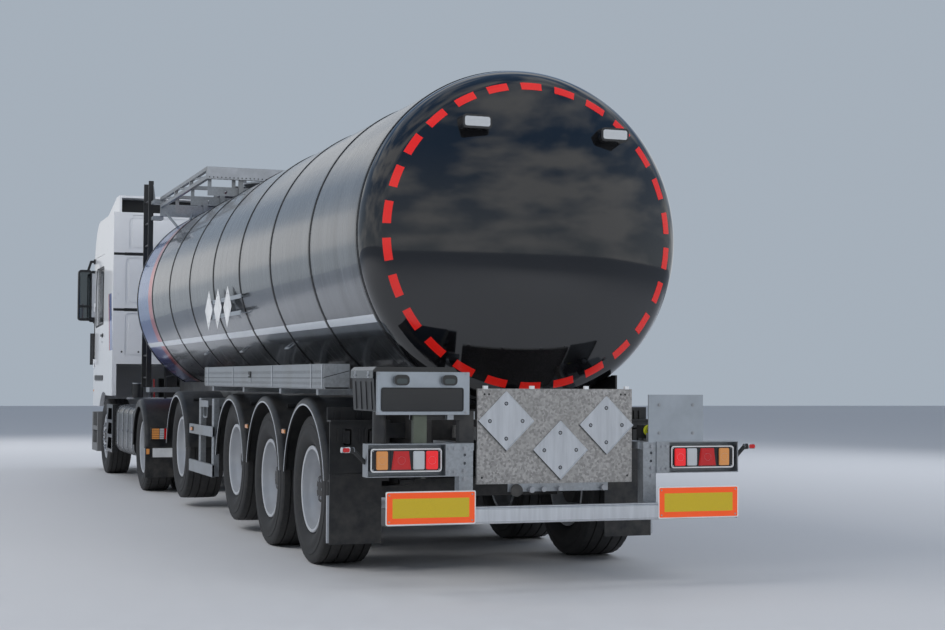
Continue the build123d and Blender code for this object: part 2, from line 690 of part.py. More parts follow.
# Hose box on the left: folded panels with strap bands, and a long lid hinged along the inner edge
hose_rear = 1240
hose_front = 5590
hose_inner_y = 1060
hose_outer_y = trailer_half_width + 35
hose_bottom_z = trailer_wheel_radius + guard_outer_radius + 60
hose_split_z = hose_bottom_z + 75
hose_top_z = hose_split_z + 95
hose_wall = 4
hose_chamfer = 10
hose_bracket_stations = (1500, 2615, 3945, 5276)
hose_hinge_stations = (1500, 2700, 3900, 5300)
hose_strap_stations = (1294, 1595, 2800, 4281, 5421)
hose_strap_half = 16
hose_strap_thickness = 3
hose_latch_station = 3596
hose_x = (at(hose_rear), at(hose_front))
hose_wall_y = hose_outer_y - hose_wall
hose_edge_y = hose_outer_y - hose_chamfer
floor_y = (hose_inner_y + hose_wall + seat_gap, hose_edge_y - hose_wall - seat_gap)
lid_low_z = hose_split_z + seat_gap


def add_box_ends(z_span):
    """The two end panels of the hose box or of its lid, between the long panels."""
    end_y = (hose_inner_y + hose_wall + seat_gap, hose_wall_y - seat_gap)
    for start in (hose_x[0], hose_x[1] - hose_wall):
        block((start, start + hose_wall), end_y, z_span)


with BuildPart() as hose_box:
    # Floor with its brackets, inner panel with the hinge barrels, outer panel with a slanted lower edge
    block(hose_x, floor_y, (hose_bottom_z, hose_bottom_z + hose_wall))
    for station in hose_bracket_stations:
        bracket_x = around(station, 30)
        bracket_y = (bearer_outer_y + seat_gap, hose_outer_y - 20)
        block(bracket_x, bracket_y, (hose_bottom_z - 40, hose_bottom_z - seat_gap))
        block(bracket_x, (floor_y[0] + 10, floor_y[1] - 10), (hose_bottom_z - 1, hose_bottom_z))
    block(hose_x, (hose_inner_y, hose_inner_y + hose_wall), (hose_bottom_z, hose_split_z))
    add_barrels(hose_hinge_stations, hose_inner_y, lid_low_z, False)
    outer_panel = (
        (hose_outer_y, hose_split_z),
        (hose_outer_y, hose_bottom_z + hose_chamfer),
        (hose_edge_y, hose_bottom_z),
        (hose_edge_y - hose_wall, hose_bottom_z + hose_wall),
        (hose_wall_y, hose_bottom_z + hose_chamfer + hose_wall),
        (hose_wall_y, hose_split_z),
    )
    cross_plate(outer_panel, hose_x)
    strap_y = (hose_outer_y - 1, hose_outer_y + hose_strap_thickness)
    for station in hose_strap_stations:
        block(around(station, hose_strap_half), strap_y, (hose_bottom_z + hose_chamfer, hose_split_z))
    block(around(hose_latch_station, 50), strap_y, (hose_split_z - 35, hose_split_z))
    add_box_ends((hose_bottom_z + hose_chamfer + hose_wall, hose_split_z))
    add(tank_seat.part, mode=Mode.SUBTRACT)
finish(hose_box, "hose_box")

with BuildPart() as hose_box_lid:
    lid_under_z = hose_top_z - hose_wall
    block(hose_x, (hose_inner_y, hose_outer_y), (lid_under_z, hose_top_z))
    for low_y in (hose_inner_y, hose_wall_y):
        block(hose_x, (low_y, low_y + hose_wall), (lid_low_z, lid_under_z - seat_gap))
    add_barrels(hose_hinge_stations, hose_inner_y, lid_low_z, True)
    for station in hose_strap_stations:
        block(around(station, hose_strap_half), strap_y, (lid_low_z, lid_under_z - seat_gap))
    add_box_ends((lid_low_z, lid_under_z - seat_gap))
finish(hose_box_lid, "hose_box_lid")

# Rear tool box on the left: a ribbed body that tapers downwards and a lid with slanted edges
tool_rear = 205
tool_front = 690
tool_inner_y = 665
tool_outer_y = 1195
tool_bottom_z = coupling_height + 30
tool_split_z = tool_bottom_z + 200
tool_top_z = tool_split_z + 70
tool_wall = 6
tool_taper = 12
tool_brim = 8
tool_chamfer = 22
tool_rib_depth = 6
tool_rib_half = 14
tool_hinge_stations = (300, 600)
with BuildPart() as tool_box:
    tool_x = (at(tool_rear), at(tool_front))
    tool_body = (
        (tool_inner_y, tool_split_z),
        (tool_inner_y, tool_bottom_z),
        (tool_outer_y - tool_taper, tool_bottom_z),
        (tool_outer_y, tool_split_z),
    )
    cross_plate(tool_body, tool_x)
    tool_space = (
        (tool_inner_y + tool_wall, tool_split_z + 1),
        (tool_inner_y + tool_wall, tool_bottom_z + tool_wall),
        (tool_outer_y - tool_taper - tool_wall, tool_bottom_z + tool_wall),
        (tool_outer_y - tool_wall, tool_split_z + 1),
    )
    cross_plate(tool_space, (tool_x[0] + tool_wall, tool_x[1] - tool_wall), mode=Mode.SUBTRACT)
    # Moulded ribs down the outer and the rear wall
    rib_top_z = tool_split_z - 20
    for share in (0.14, 0.38, 0.62, 0.86):
        rib_x = around(tool_rear + share * (tool_front - tool_rear), tool_rib_half)
        rib = (
            (tool_outer_y - tool_taper - 2, tool_bottom_z + 10),
            (tool_outer_y - tool_taper + tool_rib_depth, tool_bottom_z + 10),
            (tool_outer_y + tool_rib_depth / 2, rib_top_z),
            (tool_outer_y - 4, rib_top_z),
        )
        cross_plate(rib, rib_x)
    for rib_y in (720, 820, 920, 1020, 1120):
        rear_rib_x = (tool_x[0] - tool_rib_depth, tool_x[0] + 1)
        block(rear_rib_x, (rib_y - tool_rib_half, rib_y + tool_rib_half), (tool_bottom_z + 10, rib_top_z))
    add_barrels(tool_hinge_stations, tool_inner_y, tool_split_z + seat_gap, False)
finish(tool_box, "tool_box")

with BuildPart() as tool_box_lid:
    lid_x = (at(tool_rear) - tool_brim, at(tool_front) + tool_brim)
    lid_outer_y = tool_outer_y + tool_brim
    tool_lid_low_z = tool_split_z + seat_gap
    lid_form = (
        (tool_inner_y, tool_lid_low_z),
        (lid_outer_y, tool_lid_low_z),
        (lid_outer_y, tool_top_z - tool_chamfer),
        (lid_outer_y - tool_chamfer, tool_top_z),
        (tool_inner_y + tool_chamfer, tool_top_z),
        (tool_inner_y, tool_top_z - tool_chamfer),
    )
    cross_plate(lid_form, lid_x)
    tool_slant = tool_chamfer - tool_wall / 2
    lid_space = (
        (tool_inner_y + tool_wall, tool_lid_low_z - 1),
        (lid_outer_y - tool_wall, tool_lid_low_z - 1),
        (lid_outer_y - tool_wall, tool_top_z - tool_wall - tool_slant),
        (lid_outer_y - tool_wall - tool_slant, tool_top_z - tool_wall),
        (tool_inner_y + tool_wall + tool_slant, tool_top_z - tool_wall),
        (tool_inner_y + tool_wall, tool_top_z - tool_wall - tool_slant),
    )
    cross_plate(lid_space, (lid_x[0] + tool_wall, lid_x[1] - tool_wall), mode=Mode.SUBTRACT)
    add_barrels(tool_hinge_stations, tool_inner_y, tool_lid_low_z, True)
finish(tool_box_lid, "tool_box_lid")

# Rear frame: underrun bar, posts, lamp trays, boards with folded edges and marker arms
post_station = 190
post_half = 620
post_width = 90
post_size = 40
bar_station = 5
bar_depth = 100
bar_half = 1165
bar_z = (425, 525)
tray_rear = 140
tray_front = 240
tray_z = (706, 906)
tray_inner_y = 755
tray_outer_y = 1250
tray_wall = 5
tray_back = 10
board_station = 150
board_thickness = 6
board_fold = 14
left_board_y = (600, 1190)
left_board_z = (1080, 1340)
right_board_y = (-1000, -610)
right_board_z = (900, 1205)
board_bolt_y = -805
board_bolt_z = 1050
board_bolt_pitch_y = 240
board_bolt_pitch_z = 180
board_bolt_radius = 5.5
marker_y = (1325, 1392)
marker_z = 870
post_top_z = bearer_bottom_z + 45


def add_fold(x_span, y_span, z_span, wall, edges):
    """Folded edges round a plate that lies across X, on the named edges."""
    strips = {
        "low": (y_span, (z_span[0], z_span[0] + wall)),
        "high": (y_span, (z_span[1] - wall, z_span[1])),
        "right": ((y_span[0], y_span[0] + wall), z_span),
        "left": ((y_span[1] - wall, y_span[1]), z_span),
    }
    for edge in edges:
        block(x_span, *strips[edge])


with BuildPart() as rear_frame:
    with BuildSketch(Plane.XZ.offset(bar_half)) as bar:
        with Locations((at(bar_station + bar_depth / 2), sum(bar_z) / 2)):
            RectangleRounded(bar_depth, bar_z[1] - bar_z[0], 14)
    extrude(bar.sketch, amount=-2 * bar_half)
    for name, side in sides:
        post_y = mirrored(side, post_half - post_width / 2, post_half + post_width / 2)
        post_x = around(post_station, post_size)
        block(post_x, post_y, (bar_z[0], post_top_z))
        block((at(bar_station + bar_depth), at(post_station)), post_y, bar_z)
        hanger_y = mirrored(side, bearer_half - post_width / 2, bearer_half + post_width / 2)
        block((at(post_station), at(bearer_rear) - seat_gap), hanger_y, (bearer_bottom_z, post_top_z))
        # Two bolt holes in the rear face of the post
        for hole_z in (784, 835):
            hole_y = side * (post_half + 10)
            rod((post_x[0] - 5, hole_y, hole_z), (post_x[0] + 20, hole_y, hole_z), 9, mode=Mode.SUBTRACT)
        # Lamp tray open to the rear, with a marker arm at its outer end
        tray_y = mirrored(side, post_half + post_width / 2, tray_outer_y)
        block((at(tray_rear), at(tray_front)), tray_y, tray_z)
        tray_space_y = mirrored(side, tray_inner_y, tray_outer_y - tray_wall)
        tray_space_x = (at(tray_rear) - 1, at(tray_front - tray_back))
        block(tray_space_x, tray_space_y, (tray_z[0] + tray_wall, tray_z[1] - tray_wall), mode=Mode.SUBTRACT)
        arm_root = (at(post_station), side * (tray_outer_y - 3), marker_z - 80)
        rod(arm_root, (at(post_station), side * marker_y[0], marker_z), 12)
        marker_ends = ((at(post_station), side * y, marker_z) for y in (marker_y[0] - 6, marker_y[1]))
        rod(*marker_ends, 17)
    # Strut and round body between the left tray and the tool box, and the shelf that carries the box
    shelf_z = tool_bottom_z - 50
    block(around(post_station, 20), (870, 950), (tray_z[1], tool_bottom_z - seat_gap))
    rod((at(post_station + 40), 1150, tray_z[1] - 1), (at(post_station + 40), 1150, tool_bottom_z - seat_gap), 40)
    block((at(tool_rear), at(tool_front)), (700, 740), (shelf_z, tool_bottom_z - seat_gap))
    block((at(tool_rear), at(tool_rear + 60)), (bearer_inner_y, 950), (shelf_z, tool_bottom_z - seat_gap))
    block((at(tool_rear), at(tool_rear + 60)), (bearer_half - 45, bearer_half + 45), (post_top_z, shelf_z))
    # Boards for blank plates, left and right, with their edges folded forward
    board_x = (at(board_station), at(board_station + board_thickness))
    fold_x = (board_x[0], board_x[1] + board_fold)
    block(board_x, left_board_y, left_board_z)
    add_fold(fold_x, left_board_y, left_board_z, 4, ("low", "high", "right", "left"))
    block((board_x[1], at(tool_rear)), (700, 740), (shelf_z, left_board_z[0] + 4))
    block(board_x, right_board_y, right_board_z)
    add_fold(fold_x, right_board_y, right_board_z, 4, ("right",))
    with Locations(Plane(origin=(at(board_station), board_bolt_y, board_bolt_z), z_dir=(1, 0, 0))):
        with GridLocations(board_bolt_pitch_z, board_bolt_pitch_y, 2, 2):
            Cylinder(board_bolt_radius, 4 * board_thickness, mode=Mode.SUBTRACT)
    block((board_x[1], at(post_station)), (-665, -615), (890, 960))
    # Round-capped box behind the right board
    block((at(board_station + 40), at(board_station + 200)), (-900, -780), (tray_z[1], 1010))
    rod((at(board_station + 100), -840, 1005), (at(board_station + 100), -840, 1030), 30)
finish(rear_frame, "rear_frame")

with BuildPart() as marking_plates:
    for name, side in sides:
        block((at(0), at(bar_station) - seat_gap), mirrored(side, 609, 1174), (429, 629))
finish(marking_plates, "marking_plates")

# Rear lamps: housings with raised lenses in the trays, lamps on the left board and on the rear head
lamp_unit_y = (775, 1225)
lamp_unit_z = (735, 877)
lamp_rear = 145
lamp_body = 162
# Lenses from the outside in: highest and lowest distance from the middle
lamp_lenses = ((1186, 1117), (1094, 971), (958, 886), (876, 807))
lens_z = (748, 864)
board_lamp_y = (738, 1043)
board_lamp_z = (1258, 1322)
# Lamps on the rear head: distance from the middle, height
head_lamps = ((430, 2950), (-545, 2920))
with BuildPart() as rear_lamps:
    for name, side in sides:
        body_x = (at(lamp_body), at(tray_front - tray_back) - seat_gap)
        rounded_plate(body_x, mirrored(side, *lamp_unit_y), lamp_unit_z, 16)
        for high_y, low_y in lamp_lenses:
            rounded_plate((at(lamp_rear), body_x[0] + 2), mirrored(side, low_y, high_y), lens_z, 8)
    for lamp_y in board_lamp_y:
        lamp_span = (lamp_y - 48, lamp_y + 48)
        rounded_plate((at(board_station - 38), at(board_station) - seat_gap), lamp_span, board_lamp_z, 20)
    for lamp_y, lamp_z in head_lamps:
        rounded_plate((at(470), at(640)), (lamp_y - 100, lamp_y + 100), (lamp_z - 45, lamp_z + 45), 25)
    add(skin_seat.part, mode=Mode.SUBTRACT)
finish(rear_lamps, "rear_lamps")

# Sign panel between the posts: folded edges, three diamond plates and its stays
panel_station = 215
panel_half = 525
panel_z = (650, 1240)
panel_thickness = 3
panel_fold = 22
diamond_side = 265
# Diamond plates: distance from the middle, height
diamonds = ((335, 1039), (-29, 856), (-345, 1011))
with BuildPart() as sign_panel:
    panel_x = (at(panel_station), at(panel_station + panel_thickness))
    block(panel_x, (-panel_half, panel_half), panel_z)
    panel_edges = ("low", "high", "right", "left")
    fold_x = (panel_x[0], panel_x[0] + panel_fold)
    add_fold(fold_x, (-panel_half, panel_half), panel_z, panel_thickness, panel_edges)
    with BuildSketch(Plane.YZ.offset(panel_x[0])) as plates:
        with Locations(*diamonds):
            Rectangle(diamond_side, diamond_side, rotation=45)
    extrude(plates.sketch, amount=-panel_thickness)
    for name, side in sides:
        stay_y = mirrored(side, 480, 510)
        block((panel_x[1], at(cross_stations[0] - 60) - seat_gap), stay_y, (bearer_bottom_z + 60, bearer_bottom_z + 140))
finish(sign_panel, "sign_panel")

# Discharge pipe under the tank's rear: flange, valve body, elbow and standpipe
pipe_radius = 60
pipe_z = 760
pipe_flange_radius = 110
pipe_end = 350
pipe_corner = 1140
with BuildPart() as discharge_pipe:
    rod((at(pipe_end), 0, pipe_z), (at(pipe_corner), 0, pipe_z), pipe_radius)
    with Locations((at(pipe_corner), 0, pipe_z)):
        Sphere(pipe_radius)
    rod((at(pipe_corner), 0, pipe_z), (at(pipe_corner), 0, tank_bottom_z + 40), pipe_radius)
    # Flanges at the open end and either side of the valve
    for station, flange_length in ((pipe_end, 22), (480, 18), (660, 18)):
        rod((at(station), 0, pipe_z), (at(station + flange_length), 0, pipe_z), pipe_flange_radius)
    rod((at(pipe_corner), 0, tank_bottom_z - 60), (at(pipe_corner), 0, tank_bottom_z + 40), pipe_flange_radius)
    rod((at(510), 0, pipe_z), (at(650), 0, pipe_z), pipe_radius + 25)
    rod((at(580), 0, pipe_z), (at(580), 0, pipe_z + 130), 20)
    block((at(568), at(740)), (-14, 14), (pipe_z + 122, pipe_z + 136))
    add(skin_seat.part, mode=Mode.SUBTRACT)
finish(discharge_pipe, "discharge_pipe")

# Top platform over the tank's front half and the front ladder
platform_rear = tank_front_edge - 2800
platform_front = tank_front_edge + 380
platform_half = 800
platform_rail = 40
platform_z = tank_top_z + 67
ladder_station = tank_front_edge + 550
ladder_width = 400
ladder_y = 890
ladder_foot_z = coupling_height + 110
ladder_top_z = platform_z + 350
rung_count = 9
rung_pitch = 280
rail_gap = 90
platform_posts = (platform_rear, platform_rear + 1040, platform_rear + 2080, platform_front - platform_rail)
with BuildPart() as top_platform:
    rail_x = (at(platform_rear), at(platform_front))
    for name, side in sides:
        rail_y = mirrored(side, platform_half - platform_rail, platform_half)
        foot_y = mirrored(side, platform_half / 2, platform_half / 2 + 50)
        for z in (platform_z, platform_z + rail_gap):
            block(rail_x, rail_y, (z, z + platform_rail))
        for station in platform_posts:
            post_x = (at(station), at(station + platform_rail))
            block(post_x, rail_y, (platform_z, platform_z + rail_gap + platform_rail))
        for station in platform_posts[:3]:
            post_x = (at(station), at(station + platform_rail))
            block(post_x, foot_y, (tank_axis_z + 0.8 * tank_radius, platform_z + platform_rail / 2))
        # Slanted struts between the two rails
        for station in platform_posts[:3]:
            strut_y = side * (platform_half - platform_rail / 2)
            strut_low = (at(station + platform_rail), strut_y, platform_z + platform_rail / 2)
            strut_high = (at(station + 1000), strut_y, platform_z + rail_gap + platform_rail / 2)
            rod(strut_low, strut_high, 12)
    for station in platform_posts:
        post_x = (at(station), at(station + platform_rail))
        block(post_x, (20 - platform_half, platform_half - 20), (platform_z, platform_z + platform_rail))
    # Walkway plank ahead of the manhole and the rear board
    plank_x = (at(manhole_station + lid_radius + 60), at(platform_front))
    block(plank_x, (-300, 300), (platform_z + platform_rail, platform_z + platform_rail + 4))
    board_z = (platform_z, platform_z + rail_gap + platform_rail)
    block((rail_x[0] - 6, rail_x[0]), (-platform_half, platform_half), board_z)
    block((rail_x[0] - 30, rail_x[0]), (-platform_half, platform_half), (board_z[0] - 4, board_z[0]))
    # Saddle plates with round holes, down to the tank's shoulders
    saddle_z = (platform_z - 175, platform_z - 80)
    for station in platform_posts[:3]:
        saddle_x = (at(station) + platform_rail, at(station) + platform_rail + 8)
        block(saddle_x, (20 - platform_half, platform_half - 20), saddle_z)
        for name, side in sides:
            for hole_y in (423, 594):
                hole = (side * hole_y, platform_z - 130)
                rod((saddle_x[0] - 5, *hole), (saddle_x[1] + 5, *hole), 26, mode=Mode.SUBTRACT)
            for tab_y in (480, platform_half - 60):
                tab_span = mirrored(side, tab_y, tab_y + 40)
                block((saddle_x[0] - 4, saddle_x[1]), tab_span, (saddle_z[1] - 5, platform_z + 5))
    # Front box with its slanted brackets down to the tank's head
    box_x = (rail_x[1] - 70, rail_x[1])
    block(box_x, (-platform_half, platform_half), (platform_z - 110, platform_z))
    for name, side in sides:
        bracket_foot = (box_x[0] - 360, side * 560, tank_axis_z + 0.72 * tank_radius)
        for bracket_y in (platform_half - 60, platform_half / 2):
            rod((box_x[0] + 30, side * bracket_y, platform_z - 60), bracket_foot, 16)
    add(tank_seat.part, mode=Mode.SUBTRACT)
    # Front ladder, braced to the platform and standing on the frame's front end
    stile_stations = (ladder_station, ladder_station + ladder_width)
    for station in stile_stations:
        block(around(station, 12), (ladder_y - 30, ladder_y + 30), (ladder_foot_z, ladder_top_z))
    for step in range(rung_count):
        z = ladder_foot_z + 120 + rung_pitch * step
        rod((at(stile_stations[0]), ladder_y, z), (at(stile_stations[1]), ladder_y, z), 14)
    brace_x = (rail_x[1] - 20, at(ladder_station))
    for z in (platform_z - 130, platform_z + 70):
        block(brace_x, (platform_half - platform_rail, ladder_y), (z - 20, z + 20))
    stile_x = at(ladder_station)
    gusset = ((stile_x, ladder_top_z - 30), (stile_x, ladder_top_z - 300), (stile_x - 190, platform_z + 90))
    side_plate(gusset, (ladder_y - 30, ladder_y - 24))
    block((rail_x[1] - 20, stile_x), (platform_half - platform_rail, ladder_y - 24), (platform_z + 90, platform_z + 96))
    foot_x = (at(neck_front) + seat_gap, at(ladder_station) + 12)
    block(foot_x, (neck_bearer_half - 50, ladder_y + 30), (ladder_foot_z - 60, ladder_foot_z))
finish(top_platform, "top_platform")

# Tractor frame: channel rails, cross members, air tanks, deck behind the cab and the cab's pivot brackets
rail_bottom_z = rail_top_z - rail_depth
rail_half_width = 40
rail_thickness = 9
rail_outer_y = rail_half_spacing + rail_half_width
rail_inner_y = rail_half_spacing - rail_half_width
rail_front = front_axle_station + 1140
rail_rear = drive_axle_station - 900
cab_pivot_station = overall_length - 200
cab_pivot_z = 600
cab_pin_radius = 24
arm_inner_y = rail_half_spacing + 46
arm_outer_y = arm_inner_y + 58
bumper_wall = 60
fifth_wheel_x = at(kingpin_station)
fifth_wheel_thickness = 50
engine_half = 315
engine_rear = 13000
engine_front = 14050
engine_mount_stations = (13150, 13900)
mount_z = (rail_bottom_z + 60, rail_bottom_z + 140)
deck_stations = (10980, 12300)
deck_half = 500
deck_thickness = 30
cab_mount_station = cab_rear_station + 110
airline_post_station = 12340
tractor_cross_stations = (
    rail_rear + 40,
    drive_axle_station - 330,
    drive_axle_station + 330,
    10900,
    11900,
    rail_front - 60,
)
with BuildPart() as tractor_frame:
    rail_x = (at(rail_rear), at(rail_front))
    for name, side in sides:
        channel(rail_x, side * rail_outer_y, side * rail_inner_y, (rail_bottom_z, rail_top_z), rail_thickness)
    cross_half = rail_outer_y - rail_thickness
    for station in tractor_cross_stations:
        block(around(station, 35), (-cross_half, cross_half), (rail_bottom_z + 40, rail_top_z - 40))
    # Front brackets with the pins that the cab tilts on
    pin_x = at(cab_pivot_station)
    for name, side in sides:
        bracket_y = mirrored(side, rail_half_spacing - 31, rail_half_spacing + 31)
        block((at(rail_front - 60), pin_x + 45), bracket_y, (cab_pivot_z - 60, cab_pivot_z + 100))
        pin_ends = (side * (rail_half_spacing - 31), side * (arm_outer_y + 10))
        rod((pin_x, pin_ends[0], cab_pivot_z), (pin_x, pin_ends[1], cab_pivot_z), cab_pin_radius)
        for station in engine_mount_stations:
            mount_y = mirrored(side, engine_half + seat_gap, rail_half_spacing + 35)
            block(around(station, 60), mount_y, mount_z)
    front_x = (pin_x + 45, at(overall_length - bumper_wall))
    block(front_x, (-400, 400), (cab_pivot_z - 60, cab_pivot_z + 40))
    # Air tanks between the rails, hung from the cross members
    for name, side in sides:
        tank_y = side * 170
        tank_z = rail_bottom_z - 40
        rod((at(10850), tank_y, tank_z), (at(11950), tank_y, tank_z), 105)
    # Deck behind the cab: a plate on the rails with raised grip bars, and the airline post
    deck_x = tuple(at(station) for station in deck_stations)
    deck_top_z = rail_top_z + deck_thickness
    block(deck_x, (-deck_half, deck_half), (rail_top_z, deck_top_z))
    for bar in range(-4, 5):
        block(deck_x, (bar * 110 - 12, bar * 110 + 12), (deck_top_z, deck_top_z + 8))
    post_x = at(airline_post_station)
    block((deck_x[1] - 10, post_x + 25), (-25, 25), (rail_top_z, deck_top_z))
    rod((post_x, 0, deck_top_z - 5), (post_x, 0, 1650), 20)
    rod((post_x, -260, 1640), (post_x, 260, 1640), 16)
    # Rear mounts of the cab, on a cross beam
    cab_mount_x = around(cab_mount_station, 40)
    for name, side in sides:
        mount_y = mirrored(side, rail_inner_y, rail_half_spacing + 120)
        block(cab_mount_x, mount_y, (rail_top_z - 60, cab_floor_z - seat_gap))
    block(cab_mount_x, (-rail_inner_y - 5, rail_inner_y + 5), (cab_floor_z - 160, cab_floor_z - 60))
finish(tractor_frame, "tractor_frame")

# Fifth wheel: a plate with a flared throat for the kingpin, on a base over the rails
plate_low_z = coupling_height - fifth_wheel_thickness - seat_gap
plate_radius = 460
throat_half = 46
with BuildPart() as fifth_wheel:
    with BuildSketch(Plane.XY.offset(plate_low_z)):
        with Locations((fifth_wheel_x, 0)):
            Circle(plate_radius)
        with BuildLine():
            Polyline(
                (fifth_wheel_x - 90, throat_half),
                (fifth_wheel_x - plate_radius - 20, 240),
                (fifth_wheel_x - plate_radius - 20, -240),
                (fifth_wheel_x - 90, -throat_half),
                close=True,
            )
        make_face(mode=Mode.SUBTRACT)
    extrude(amount=fifth_wheel_thickness)
    base_half = plate_radius - 20
    block((fifth_wheel_x - 60, fifth_wheel_x + 60), (-base_half, base_half), (rail_top_z + 60, plate_low_z + 1))
    for name, side in sides:
        foot_y = mirrored(side, rail_inner_y, base_half)
        foot_x = (fifth_wheel_x - 180, fifth_wheel_x + 180)
        block(foot_x, foot_y, (rail_top_z + seat_gap, rail_top_z + 20))
        leg = (
            (fifth_wheel_x - 160, rail_top_z + 10),
            (fifth_wheel_x + 160, rail_top_z + 10),
            (fifth_wheel_x + 70, plate_low_z + 1),
            (fifth_wheel_x - 70, plate_low_z + 1),
        )
        side_plate(leg, mirrored(side, rail_half_spacing, rail_half_spacing + 50))
    pin_bore = kingpin_radius + run_gap
    rod((fifth_wheel_x, 0, rail_top_z - 1), (fifth_wheel_x, 0, coupling_height), pin_bore, mode=Mode.SUBTRACT)
finish(fifth_wheel, "fifth_wheel")

# Tractor axles: the dropped front beam between its knuckles, and the drive axle with its housing
knuckle_half = 800
knuckle_radius_outer = 50
king_pin_radius = 22
king_pin_half = 110
beam_half_length = 50
leaf_y = (430, 510)
leaf_half_length = 800
leaf_thickness = 28
leaf_end_z = front_z + 140
leaf_middle_z = front_z + 62
shackle_length = 40
drive_tube_radius = 85
drive_bowl_radius = 210
drive_arm_half = 480
drive_bag_lead = 370
drive_bag_radius = 130
gearbox_rear = 12620
shaft_front_z = 640
with BuildPart() as tractor_axles:
    x = at(front_axle_station)
    # The beam rises from its dropped middle to the knuckles' bosses
    beam = (
        (-knuckle_half + 80, front_z - 20),
        (-knuckle_half + 80, front_z - 110),
        (-560, front_z - 140),
        (560, front_z - 140),
        (knuckle_half - 80, front_z - 110),
        (knuckle_half - 80, front_z - 20),
        (540, front_z - 40),
        (-540, front_z - 40),
    )
    cross_plate(beam, (x - beam_half_length, x + beam_half_length))
    for name, side in sides:
        y = side * knuckle_half
        riser_y = mirrored(side, knuckle_half - 130, knuckle_half - 80)
        block((x - 50, x + 50), riser_y, (front_z - 110, front_z + 55))
        block((x - 45, x + 45), mirrored(side, knuckle_half - 100, knuckle_half), (front_z - 55, front_z + 55))
        rod((x, y, front_z - 55), (x, y, front_z + 55), knuckle_radius_outer)
        rod((x, y, front_z - king_pin_half), (x, y, front_z + king_pin_half), king_pin_radius)
        # Curved leaf spring on its seat, between a hanger and a shackle
        spring_y = mirrored(side, *leaf_y)
        with BuildSketch(Plane.XZ.offset(-spring_y[0])) as leaf:
            with BuildLine():
                for rise in (0, leaf_thickness):
                    ends = ((x - leaf_half_length, leaf_end_z + rise), (x + leaf_half_length, leaf_end_z + rise))
                    ThreePointArc(ends[0], (x, leaf_middle_z + rise), ends[1])
                for end in (-leaf_half_length, leaf_half_length):
                    Line((x + end, leaf_end_z), (x + end, leaf_end_z + leaf_thickness))
            make_face()
        extrude(leaf.sketch, amount=spring_y[0] - spring_y[1])
        block((x - 60, x + 60), spring_y, (front_z - 60, leaf_middle_z + leaf_thickness + 12))
        for end in (-leaf_half_length, leaf_half_length - shackle_length):
            shackle_x = (x + end, x + end + shackle_length)
            block(shackle_x, spring_y, (leaf_end_z, rail_bottom_z + 80))
            shackle_y = mirrored(side, rail_outer_y + seat_gap, leaf_y[1])
            block(shackle_x, shackle_y, (rail_bottom_z + 20, rail_bottom_z + 120))
    # Drive axle with its housing, spring arms and air springs, and the propeller shaft
    x = at(drive_axle_station)
    rod((x, -drive_outer_y, front_z), (x, drive_outer_y, front_z), stub_radius)
    rod((x, -600, front_z), (x, 600, front_z), drive_tube_radius)
    with Locations((x, 0, front_z)):
        Sphere(drive_bowl_radius)
    rod((x, 0, front_z), (x + 330, 0, front_z), 90)
    shaft_ends = ((x + 300, 0, front_z), (at(gearbox_rear) - 10 * seat_gap, 0, shaft_front_z))
    rod(*shaft_ends, 45)
    for name, side in sides:
        arm_y = mirrored(side, rail_inner_y, rail_outer_y)
        spring_arm = (
            (x - drive_arm_half, front_z - 20),
            (x - 90, front_z - 50),
            (x + 90, front_z - 50),
            (x + drive_arm_half, front_z - 20),
            (x + drive_arm_half, front_z + 10),
            (x - drive_arm_half, front_z + 10),
        )
        side_plate(spring_arm, arm_y)
        for end in (-drive_bag_lead, drive_bag_lead):
            add_air_spring(x + end, side * rail_half_spacing, front_z, rail_bottom_z, drive_bag_radius)
finish(tractor_axles, "tractor_axles")

# Steering knuckles: a fork round the beam's king post, a stub axle and a steering arm
fork_inner_y = knuckle_half + 62
fork_outer_y = knuckle_half + 90
fork_z = 60
for name, side in sides:
    x = at(front_axle_station)
    y = side * knuckle_half
    with BuildPart() as knuckle:
        eye_z = 55 + seat_gap
        rod((x, y, front_z - king_pin_half), (x, y, front_z - eye_z), knuckle_radius_outer)
        rod((x, y, front_z + eye_z), (x, y, front_z + king_pin_half), knuckle_radius_outer)
        fork_y = mirrored(side, fork_inner_y, fork_outer_y)
        block((x - 50, x + 50), fork_y, (front_z - king_pin_half, front_z + king_pin_half))
        web_y = mirrored(side, knuckle_half, fork_outer_y)
        block((x - 40, x + 40), web_y, (front_z - king_pin_half, front_z - fork_z))
        block((x - 40, x + 40), web_y, (front_z + fork_z, front_z + king_pin_half))
        pin_bore = king_pin_radius + run_gap
        rod((x, y, front_z - king_pin_half - 10), (x, y, front_z + king_pin_half + 10), pin_bore, mode=Mode.SUBTRACT)
        stub_start = (x, side * (fork_outer_y - 10), front_z)
        rod(stub_start, (x, side * (front_track_half + stub_reach), front_z), stub_radius)
    finish(knuckle, f"knuckle_{name}")

